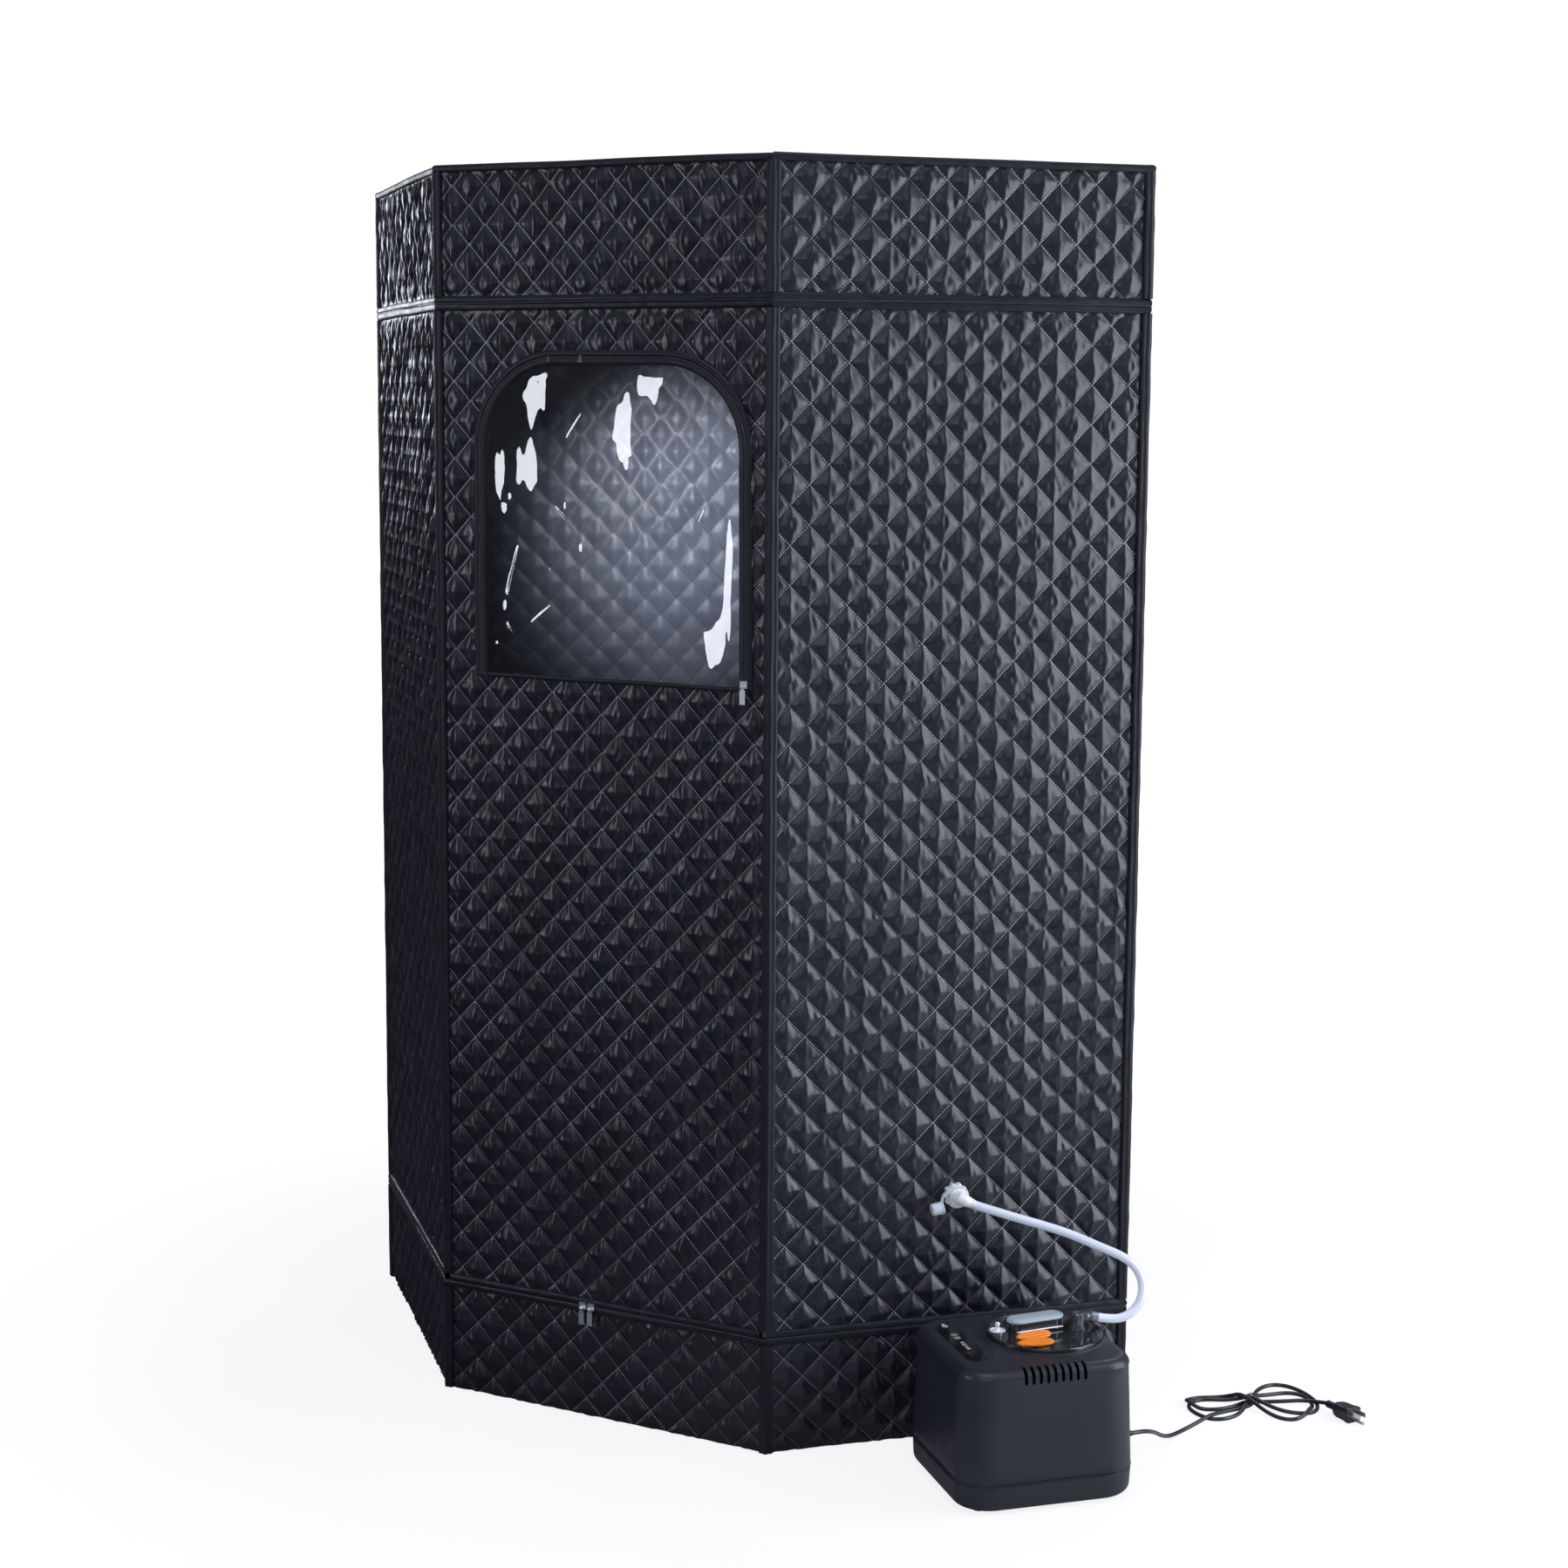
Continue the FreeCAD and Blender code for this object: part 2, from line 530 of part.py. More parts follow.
def make_case():
    long_, wide = dim("case_long"), dim("case_wide")
    wall, edge = dim("case_wall"), dim("case_edge")
    outer = rounded_block(long_, wide, "dims.case_round", "dims.case_seam + 0.3", "dims.case_top", "dims.case_edge")
    inner = rounded_block(long_ - 2 * wall, wide - 2 * wall, "dims.case_round - dims.case_wall",
                          "dims.case_seam - 1", "dims.case_top - dims.case_wall", "dims.case_edge - dims.case_wall")
    openings = [inner, rod("dims.mouth_radius", "30", case_at(LID_X, LID_Y, dim("case_top") - 15))]
    for u in VENTS:
        openings.append(box("dims.vent_wide", "24", "40",
                            case_at(u - dim("vent_wide") / 2, -wide / 2 - 4, dim("case_top") - 18)))
    openings.append(rod("5.2", "20", case_at(long_ / 2 - 10, GLAND_V, GLAND_UP, ALONG_X)))
    for v in KEYS.values():
        openings.append(rod("dims.key_radius + dims.key_gap", "20", case_at(PANEL_U, v, dim("case_top") - 10)))
    openings.append(rod("dims.start_radius + dims.key_gap", "20", case_at(PANEL_U, START_V, dim("case_top") - 10)))
    keep("steamer_housing", cut(outer, fuse(openings)))

    tray = rounded_block(long_, wide, "dims.case_round", "dims.case_foot", "dims.case_seam")
    hollow = rounded_block(long_ - 2 * wall, wide - 2 * wall, "dims.case_round - dims.case_wall",
                           "dims.case_foot + dims.case_wall", "dims.case_seam + 2")
    posts = [rod("4", "dims.tank_low - 0.6 - dims.plate_thick - dims.case_foot",
                 case_at(LID_X + 45 * math.cos(angle), LID_Y + 45 * math.sin(angle), dim("case_foot")))
             for angle in (math.pi / 2, math.pi * 7 / 6, math.pi * 11 / 6)]
    keep("steamer_base", fuse([cut(tray, hollow)] + posts))
    feet = [rod("dims.foot_radius", "dims.case_foot", case_at(u, v, 0)) for u in (-95, 95) for v in (-90, 90)]
    keep("steamer_feet", group(feet))


def make_boiler():
    rim = dim("case_top") - 4
    body = fuse([
        rod("dims.tank_radius", f"{rim} - dims.tank_low", case_at(LID_X, LID_Y, dim("tank_low"))),
        rod("dims.flange_radius", "1.2", case_at(LID_X, LID_Y, rim - 1.2)),
    ])
    hollow = rod("dims.tank_radius - dims.tank_wall", f"{rim + 1} - dims.tank_low - dims.tank_wall",
                 case_at(LID_X, LID_Y, dim("tank_low") + dim("tank_wall")))
    keep("water_tank", cut(body, hollow))
    keep("tank_seal", tube("dims.flange_radius - 0.6", "dims.tank_radius + 0.5", "dims.case_top - 0.1 - 193.1",
                           case_at(LID_X, LID_Y, 193.1)))
    keep("heating_plate", rod("dims.plate_radius", "dims.plate_thick",
                              case_at(LID_X, LID_Y, dim("tank_low") - 0.3 - dim("plate_thick"))))


def oblong(length, width, tall, place):
    """A plate with half-round ends, centred on the placement."""
    middle = box(f"({length}) - ({width})", width, tall, place)
    middle.Placement = place * Placement(Vector(-(value(length) - value(width)) / 2, -value(width) / 2, 0), NO_TURN)
    pieces = [middle]
    for sign in (-1, 1):
        shift = Vector(sign * (value(length) - value(width)) / 2, 0, 0)
        pieces.append(rod(f"({width}) / 2", tall, place * Placement(shift, NO_TURN)))
    return fuse(pieces)


def value(formula):
    """Number behind a formula on the spreadsheet's cells."""
    return float(sheet.evalExpression(formula))


BOX_X, BOX_Y, BOX_TURN = 28, 24, 7
VALVE_X, VALVE_Y = -32, 13
LATCH_X, LATCH_Y, LATCH_TURN = 3, -36, 2
PETAL_RISE, PETAL_DROP = 36, 10
OUTLET_X, OUTLET_Y = 86, 10
OUTLET_END = 107


def make_lid():
    low = dim("case_top") + 0.3
    top = low + dim("lid_thick")
    disc = fuse([
        rod("dims.lid_radius", "dims.lid_thick", case_at(LID_X, LID_Y, low)),
        rod("dims.lid_collar", "10", case_at(LID_X, LID_Y, low - 10)),
        rod("7", "5", case_at(VALVE_X, VALVE_Y, top)),
    ])
    box_place = case_at(BOX_X, BOX_Y, low - 12, Rotation(Vector(0, 0, 1), BOX_TURN))
    inner_long = "dims.box_long - 2 * dims.box_wall"
    inner_wide = "dims.box_wide - 2 * dims.box_wall"
    hollow = fuse([
        rod("dims.lid_collar - 2", "10", case_at(LID_X, LID_Y, low - 10.5)),
        rod("dims.valve_bore", "40", case_at(VALVE_X, VALVE_Y, low - 20)),
        oblong(inner_long, inner_wide, "20", box_place),
    ])
    keep("steam_lid", cut(disc, hollow))

    above = case_at(BOX_X, BOX_Y, top, Rotation(Vector(0, 0, 1), BOX_TURN))
    walls = oblong("dims.box_long", "dims.box_wide", "dims.box_tall", above)
    keep("herb_box", cut(walls, oblong(inner_long, inner_wide, "dims.box_tall + 4",
                                       above * Placement(Vector(0, 0, -2), NO_TURN))))
    lip = above * Placement(Vector(0, 0, dim("box_tall") + 0.3), NO_TURN)
    plug_in = above * Placement(Vector(0, 0, dim("box_tall") - 2.5), NO_TURN)
    keep("herb_cap", fuse([
        oblong("dims.box_long + 2 * dims.cap_over", "dims.box_wide + 2 * dims.cap_over", "dims.cap_tall", lip),
        oblong(f"{inner_long} - 0.8", f"{inner_wide} - 0.8", "4", plug_in),
    ]))

    seat = top + 5.4
    keep("relief_valve", fuse([
        rod("dims.valve_disc", "2", case_at(VALVE_X, VALVE_Y, seat)),
        rod("dims.valve_stem", f"{seat + 9 - (low - 4)}", case_at(VALVE_X, VALVE_Y, low - 4)),
        ball("3", case_at(VALVE_X, VALVE_Y, seat + 9)),
    ]))

    hinge = case_at(LATCH_X, LATCH_Y, top + 4, Rotation(Vector(0, 0, 1), LATCH_TURN))
    petals = []
    for side, tilt in ((1, PETAL_RISE), (-1, -PETAL_DROP)):
        lean = Placement(Vector(), Rotation(Vector(1, 0, 0), tilt))
        middle = Placement(Vector(0, side * dim("petal_wide") / 2, 0), NO_TURN)
        petals.append(oblong("dims.petal_long", "dims.petal_wide", "dims.petal_thick", hinge * lean * middle))
    hub = rod("dims.hub_wide", "8", case_at(LATCH_X, LATCH_Y, top + 0.3))
    keep("lid_latch", fuse([hub] + petals))

    post = rod("dims.outlet_radius", "dims.outlet_up + 7 - " + str(top), case_at(OUTLET_X, OUTLET_Y, top))
    arm = rod("dims.hose_radius + 0.6", str(OUTLET_END - OUTLET_X),
              case_at(OUTLET_X, OUTLET_Y, dim("outlet_up"), ALONG_X))
    keep("steam_outlet", fuse([post, arm]))


def make_controls():
    top = dim("case_top")
    thick = dim("panel_thick")
    film = oblong("dims.panel_long", "dims.panel_wide", "dims.panel_thick",
                  case_at(PANEL_U, PANEL_V, top, Rotation(Vector(0, 0, 1), 90)))
    holes = [rod("dims.key_radius + dims.key_gap", "10", case_at(PANEL_U, v, top - 5)) for v in KEYS.values()]
    holes.append(rod("dims.start_radius + dims.key_gap", "10", case_at(PANEL_U, START_V, top - 5)))
    holes.append(box("14.4", "28.4", "10", case_at(PANEL_U - 7.2, DISPLAY_V - 14.2, top - 5)))
    keep("control_panel", cut(film, fuse(holes)))
    keep("display_window", box("14", "28", str(thick + 0.4), case_at(PANEL_U - 7, DISPLAY_V - 14, top)))
    for name, v in KEYS.items():
        keep(name, rod("dims.key_radius", "6", case_at(PANEL_U, v, top + thick + 0.6 - 6)))
    keep("start_button", fuse([
        rod("dims.start_radius", "5.5", case_at(PANEL_U, START_V, top + thick + 0.8 - 5.5)),
        cone("dims.start_radius", "dims.start_radius - 4", "1.6", case_at(PANEL_U, START_V, top + thick + 0.8)),
    ]))
    keep("control_board", box("34", "150", "1.6", case_at(PANEL_U - 17, PANEL_V - 75, top - 14)))


# ---------------------------------------------------------------- hose and cord

def swept_tube(points, radius, name):
    """Straight runs joined by tangent arcs, each as large as its two runs allow."""
    edges = []
    start = points[0]
    bends = []
    for before, corner, after in zip(points, points[1:], points[2:]):
        into = (corner - before).normalize()
        out = (after - corner).normalize()
        half_turn = into.getAngle(out) / 2
        trim = 0.45 * min(corner.distanceToPoint(before), corner.distanceToPoint(after))
        arc_radius = trim / math.tan(half_turn)
        bends.append(round(arc_radius, 1))
        first, last = corner - into * trim, corner + out * trim
        toward = (out - into).normalize()
        middle = corner + toward * (arc_radius / math.cos(half_turn) - arc_radius)
        edges.append(Part.LineSegment(start, first).toShape())
        edges.append(Part.Arc(first, middle, last).toShape())
        start = last
    edges.append(Part.LineSegment(start, points[-1]).toShape())
    path = Part.Wire(edges)
    ring = Part.Circle(points[0], points[1] - points[0], radius).toShape()
    solid = path.makePipeShell([Part.Wire([ring])], True, False)
    expected = math.pi * radius ** 2 * path.Length
    print(name, "length", round(path.Length, 1), "radii", bends, "volume ratio", round(solid.Volume / expected, 4))
    item = doc.addObject("Part::Feature", "Tube")
    item.Shape = solid
    return item


# steam hose, in the right wall's frame: along the wall, out from it, up
HOSE_ROUTE = [
    (332, 55, 340), (372, 77, 330), (412, 101, 319.5), (449, 124, 304), (483, 142, 290),
    (499, 151.5, 272.5), (503, 159, 250), (495, 164, 228), (475.5, 166, 213), (451, 163, 210),
]
# power cord from its gland to the hank, in the door's working frame
CORD_ROUTE = [
    (1035, 192, 62), (1037, 222, 52), (1032, 257, 37), (1028, 292, 20), (1027, 326, 7),
    (1031, 358, 3), (1043, 391, 3),
]
HANK_AT = (1080, 519)
HANK_TURN = 28
# the hank's loops fan out from its tie: each loop's reach, widest half and heading
HANK_LOOPS = [(104, 67, 15), (98, 45, 205), (98, 62, -12), (95, 27, 185)]
# where the power cord meets the hank, about its tie
HANK_ENTRY = (-69.4, -69.2, 3)
# the last stretch, from the hank to the plug, about the tie
LEAD_OUT = [(109.8, -11, 8.4), (114, -22, 11.4)]
PLUG_HEADING = -58
BOOT_LONG = 18


def make_hose():
    centre = wall_at("right", dim("port_along"), -ELBOW_OUT, dim("port_up"))
    start = centre.multVec(HOSE_START * BARB_LONG)
    points = [start] + [wall_at("right", along, -out, up).Base for along, out, up in HOSE_ROUTE]
    points.append(case_at(OUTLET_END, OUTLET_Y, dim("outlet_up")).Base)
    keep("steam_hose", swept_tube(points, dim("hose_radius"), "steam_hose"))


def hank_at(x, y, z, heading=0.0):
    frame = floor_at(*HANK_AT, 0, Rotation(Vector(0, 0, 1), HANK_TURN))
    return frame * Placement(Vector(x, y, z), Rotation(Vector(0, 0, 1), heading))


def drop_outline(reach, half, heading, steps=24):
    """Outer outline of one loop, a drop shape with its tip at the tie; its widest point is at 109 degrees."""
    around = dim("cord_radius") * 1.3
    widest = math.sin(math.radians(109)) * math.sin(math.radians(54.5))
    points = []
    for step in range(1, steps):
        angle = 2 * math.pi * step / steps
        along = (reach + around) * (1 - math.cos(angle)) / 2
        across = (half + around) / widest * math.sin(angle) * math.sin(angle / 2)
        points.append(direction(heading) * along + direction(heading + 90) * across)
    return [Vector(0, 0, 0)] + points


def hank_shape():
    """The loops' filled outlines and the waist where they are tied, fused into one flat solid."""
    tall = dim("hank_tall")
    waist = Part.makeCylinder(dim("hank_waist"), tall)
    loops = []
    for loop in HANK_LOOPS:
        outline = drop_outline(*loop)
        loops.append(Part.Face(Part.makePolygon(outline + outline[:1])).extrude(Vector(0, 0, tall)))
    return waist.multiFuse(loops).removeSplitter()


def make_cord():
    edge = dim("case_long") / 2
    keep("cord_gland", fuse([
        rod("5", "8", case_at(edge - 6, GLAND_V, GLAND_UP, ALONG_X)),
        rod("7.5", "2.5", case_at(edge + 0.2, GLAND_V, GLAND_UP, ALONG_X)),
        cone("5.5", "dims.cord_radius + 0.6", "18", case_at(edge + 2, GLAND_V, GLAND_UP, ALONG_X)),
    ]))
    start = case_at(edge + 20, GLAND_V, GLAND_UP).Base
    entry = hank_at(*HANK_ENTRY).Base
    points = [start] + [floor_at(*point).Base for point in CORD_ROUTE] + [entry]
    keep("power_cord", swept_tube(points, dim("cord_radius"), "power_cord"))

    hank = doc.addObject("Part::Feature", "Hank")
    hank.Shape = hank_shape()
    hank.Placement = hank_at(0, 0, 0)
    keep("cord_hank", hank)

    half, long_, thick = dim("tie_half"), dim("tie_long"), dim("tie_thick")
    outer = box("dims.tie_long", "2 * (dims.tie_half + dims.tie_thick)", "dims.hank_tall + dims.tie_thick + 0.4",
                hank_at(-long_ / 2, -half - thick, 0))
    inner = box("dims.tie_long + 2", "2 * dims.tie_half", "dims.hank_tall + 0.4", hank_at(-long_ / 2 - 1, -half, 0))
    keep("cord_tie", cut(outer, inner))

    end = hank_at(*LEAD_OUT[-1])
    run = (hank_at(*LEAD_OUT[0]).Base, end.Base)
    tail = rod("dims.cord_radius", str(run[1].distanceToPoint(run[0])),
               Placement(run[0], Rotation(Vector(0, 0, 1), run[1] - run[0])))
    keep("plug_lead", tail)

    frame = hank_at(*LEAD_OUT[-1], PLUG_HEADING)
    boot = rod("dims.boot_radius - 1.2", str(BOOT_LONG), frame * Placement(Vector(), ALONG_X))
    ribs = [rod("dims.boot_radius", "1.8", frame * Placement(Vector(2 + 4.2 * n, 0, 0), ALONG_X)) for n in range(4)]
    shoulder = cone("dims.boot_radius + 1", "dims.plug_tall / 2 - 0.5", "9",
                    frame * Placement(Vector(BOOT_LONG - 2, 0, 0), ALONG_X))
    body = box("dims.plug_long - 6", "dims.plug_deep", "dims.plug_tall - 0.8",
               frame * Placement(Vector(BOOT_LONG + 6, -dim("plug_deep") / 2, -11.4), NO_TURN))
    keep("plug_body", fuse([boot, shoulder, body] + ribs))
    face = BOOT_LONG + dim("plug_long")
    blades = [box("dims.blade_long", "dims.blade_thick", "dims.blade_wide",
                  frame * Placement(Vector(face, side - dim("blade_thick") / 2, 0.8), NO_TURN))
              for side in (-dim("blade_gap") / 2, dim("blade_gap") / 2)]
    ground = rod("dims.earth_radius", "dims.earth_long", frame * Placement(Vector(face, 0, -6.5), ALONG_X))
    keep("plug_prongs", group(blades + [ground]))


# ---------------------------------------------------------------- build, test and write

make_walls()
make_bindings()
make_bands()
make_sheets()
make_door()
make_sliders()
make_frame()
make_inlet()
make_case()
make_boiler()
make_lid()
make_controls()
make_hose()
make_cord()
doc.recompute()

for item in doc.Objects:
    if "Invalid" in item.State or "Error" in item.State:
        raise RuntimeError(f"{item.Name} ({item.Label}) failed: {item.State}")
os.makedirs("parts", exist_ok=True)
for old in os.listdir("parts"):
    os.remove(os.path.join("parts", old))
for name, item in parts.items():
    shape = item.Shape
    if shape.isNull() or not shape.isValid() or not shape.Solids:
        raise RuntimeError(f"{name} has no valid solid")
    shape.exportStep(f"parts/{name}.step")
print(len(parts), "sub-parts written; shift", SHIFT)
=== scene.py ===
"""Looks of the portable steam sauna: quilted cabin, clear window, steam generator, hose and lead."""
import math

import bmesh
import bpy
import numpy as np
from mathutils import Matrix, Vector


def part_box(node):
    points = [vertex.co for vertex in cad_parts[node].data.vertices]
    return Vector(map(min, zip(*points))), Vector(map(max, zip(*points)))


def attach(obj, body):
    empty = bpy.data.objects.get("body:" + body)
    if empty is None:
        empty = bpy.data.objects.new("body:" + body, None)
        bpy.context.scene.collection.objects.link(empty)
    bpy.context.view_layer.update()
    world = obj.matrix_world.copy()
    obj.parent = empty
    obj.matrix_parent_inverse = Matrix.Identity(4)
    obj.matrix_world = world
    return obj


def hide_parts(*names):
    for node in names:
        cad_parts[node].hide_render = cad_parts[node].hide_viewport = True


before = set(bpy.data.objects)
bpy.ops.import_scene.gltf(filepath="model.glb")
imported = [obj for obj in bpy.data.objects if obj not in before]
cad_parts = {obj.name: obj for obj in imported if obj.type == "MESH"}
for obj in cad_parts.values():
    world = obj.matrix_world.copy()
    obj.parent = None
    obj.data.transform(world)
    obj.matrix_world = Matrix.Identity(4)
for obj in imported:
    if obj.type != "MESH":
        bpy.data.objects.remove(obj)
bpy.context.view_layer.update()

# ---------------------------------------------------------------- the cabin's plan, in metres

SIDE = 0.545
BACK_SIDE = SIDE * (1 + math.sqrt(0.5))
REACH = SIDE * math.sqrt(0.5)
CORNER_GAP = 0.0093
HEIGHT = 1.8
BASE_BAND = (0.159, 0.179)
ROOF_BAND = (1.598, 1.618)
EDGE_LOW = 1.792
LOW_WALL, HIGH_WALL = BASE_BAND[1] + 0.0003, ROOF_BAND[0] - 0.0003
DIAMOND = SIDE / 10
WINDOW_MID, WINDOW_HALF, WINDOW_ROUND = 0.290, 0.208, 0.120
WINDOW_LOW, WINDOW_TALL = 1.085, 0.438
UP = Vector((0, 0, 1))

door_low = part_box("door_panel")[0]
DOOR_CORNER = Vector((door_low.x - CORNER_GAP, door_low.y, 0))
WALLS = {
    "front": ((0, 0), 0, SIDE),
    "right": ((SIDE, 0), 45, SIDE),
    "back_right": ((SIDE + REACH, REACH), 135, BACK_SIDE),
    "back_left": ((SIDE / 2, REACH + BACK_SIDE * math.sqrt(0.5)), 225, BACK_SIDE),
    "left": ((-REACH, REACH), 315, SIDE),
}
TURN_AT_START = {"front": 45, "right": 45, "back_right": 90, "back_left": 90, "left": 90}
TURN_AT_END = {"front": 45, "right": 90, "back_right": 90, "back_left": 90, "left": 45}


def direction(heading):
    angle = math.radians(heading)
    return Vector((math.cos(angle), math.sin(angle), 0))


def wall_axes(side):
    """Start corner, direction along the wall and direction into the cabin."""
    (x, y), heading, _ = WALLS[side]
    return DOOR_CORNER + Vector((x, y, 0)), direction(heading), direction(heading + 90)


def wall_point(side, along, inward, up):
    corner, run, into = wall_axes(side)
    return corner + run * along + into * inward + UP * up


def place_array(side, along, inward, up):
    """The same for whole arrays: returns points as rows."""
    corner, run, into = (np.array(v) for v in wall_axes(side))
    return corner + along[..., None] * run + inward[..., None] * into + up[..., None] * np.array(UP)


# ---------------------------------------------------------------- mesh helpers

def add_object(name, data):
    item = bpy.data.objects.new(name, data)
    bpy.context.scene.collection.objects.link(item)
    return item


def make_mesh(name, points, faces, material, uv=None, sharp=None):
    """A smooth mesh object; uv gives one pair for each point and sharp the angle that stays an edge."""
    mesh = bpy.data.meshes.new(name)
    mesh.from_pydata(np.asarray(points).reshape(-1, 3).tolist(), [], [tuple(f) for f in np.asarray(faces).tolist()]
                     if isinstance(faces, np.ndarray) else faces)
    if uv is not None:
        layer = mesh.uv_layers.new(name="cloth")
        corner_points = np.empty(len(mesh.loops), dtype=np.int32)
        mesh.loops.foreach_get("vertex_index", corner_points)
        layer.data.foreach_set("uv", np.asarray(uv, dtype=np.float32).reshape(-1, 2)[corner_points].ravel())
    mesh.polygons.foreach_set("use_smooth", [True] * len(mesh.polygons))
    if sharp:
        mesh.set_sharp_from_angle(angle=math.radians(sharp))
    mesh.update()
    mesh.materials.append(material)
    return add_object(name, mesh)


def grid_quads(rows, columns, join_columns=False):
    """Quads over a grid of points that run row by row; each row may close into a ring."""
    r, c = np.meshgrid(np.arange(rows - 1), np.arange(columns - (not join_columns)), indexing="ij")
    below, beside = r + 1, (c + 1) % columns
    quads = [r * columns + c, r * columns + beside, below * columns + beside, below * columns + c]
    return np.stack(quads, axis=-1).reshape(-1, 4)


def skin(name, rows, material, join_columns=False, caps=False, uv=None, sharp=None):
    """A surface through rows of points, with flat caps on its first and last row if wanted."""
    rows = np.asarray(rows, dtype=float)
    faces = [tuple(f) for f in grid_quads(*rows.shape[:2], join_columns).tolist()]
    if caps:
        count, last = rows.shape[1], (rows.shape[0] - 1) * rows.shape[1]
        faces += [tuple(range(count - 1, -1, -1)), tuple(range(last, last + count))]
    return make_mesh(name, rows, faces, material, uv, sharp)


def joined(name, items):
    """Several mesh objects as one."""
    bpy.ops.object.select_all(action="DESELECT")
    for item in items:
        item.select_set(True)
    bpy.context.view_layer.objects.active = items[0]
    bpy.ops.object.join()
    items[0].name = name
    return items[0]


def finish_piece(item, body, slot, *nodes):
    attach(item, body)
    if nodes:
        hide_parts(*nodes)
    return item


def smooth_noise(x, y, cell_x, cell_y, seed):
    """Smooth random field from -1 to 1 with the given cell sizes; the same on every run."""
    table = np.random.RandomState(seed).uniform(-1, 1, (257, 257))
    u, v = np.asarray(x) / cell_x, np.asarray(y) / cell_y
    i, j = np.floor(u).astype(int), np.floor(v).astype(int)
    s, t = u - i, v - j
    s, t = s * s * (3 - 2 * s), t * t * (3 - 2 * t)
    i0, j0, i1, j1 = i % 257, j % 257, (i + 1) % 257, (j + 1) % 257
    low = table[i0, j0] * (1 - s) + table[i1, j0] * s
    high = table[i0, j1] * (1 - s) + table[i1, j1] * s
    return low * (1 - t) + high * t


def ease(x):
    x = np.clip(x, 0, 1)
    return x * x * (3 - 2 * x)


# ---------------------------------------------------------------- material helpers

class Nodes:
    """Short calls for building a node tree."""

    def __init__(self, name):
        self.material = bpy.data.materials.new(name)
        self.material.use_nodes = True
        self.tree = self.material.node_tree
        self.tree.nodes.clear()
        self.output = self.tree.nodes.new("ShaderNodeOutputMaterial")

    def node(self, kind, inputs=None, **settings):
        item = self.tree.nodes.new("ShaderNode" + kind)
        for key, value in settings.items():
            setattr(item, key, value)
        for key, value in (inputs or {}).items():
            self.feed(item.inputs[key], value)
        return item

    def feed(self, socket, value):
        if isinstance(value, bpy.types.NodeSocket):
            self.tree.links.new(value, socket)
        else:
            socket.default_value = value

    def math(self, operation, *values):
        item = self.node("Math", operation=operation)
        for socket, value in zip(item.inputs, values):
            self.feed(socket, value)
        return item.outputs[0]

    def mix(self, factor, first, second):
        item = self.node("Mix", data_type="RGBA")
        for socket, value in zip((item.inputs[0], item.inputs[6], item.inputs[7]), (factor, first, second)):
            self.feed(socket, value)
        return item.outputs[2]

    def spread(self, value, low, high, to_low=0.0, to_high=1.0):
        item = self.node("MapRange", {0: value, 1: low, 2: high, 3: to_low, 4: to_high})
        return item.outputs[0]

    def noise(self, scale, detail=3.0, vector=None, roughness=0.5):
        item = self.node("TexNoise", {"Scale": scale, "Detail": detail, "Roughness": roughness})
        if vector is not None:
            self.feed(item.inputs["Vector"], vector)
        return item.outputs["Fac"]

    def place(self, scale=(1, 1, 1)):
        """Object coordinates, stretched."""
        coordinates = self.node("TexCoord").outputs["Object"]
        return self.node("Mapping", {"Vector": coordinates, "Scale": scale}).outputs[0]

    def bump(self, height, strength, distance):
        return self.node("Bump", {"Height": height, "Strength": strength, "Distance": distance}).outputs[0]

    def surface(self, color, roughness, normal=None, **extra):
        shader = self.node("BsdfPrincipled")
        self.feed(shader.inputs["Base Color"], color)
        self.feed(shader.inputs["Roughness"], roughness)
        if normal is not None:
            self.feed(shader.inputs["Normal"], normal)
        for key, value in extra.items():
            self.feed(shader.inputs[key.replace("_", " ").title().replace("Ior", "IOR")], value)
        self.tree.links.new(shader.outputs[0], self.output.inputs[0])
        return self.material


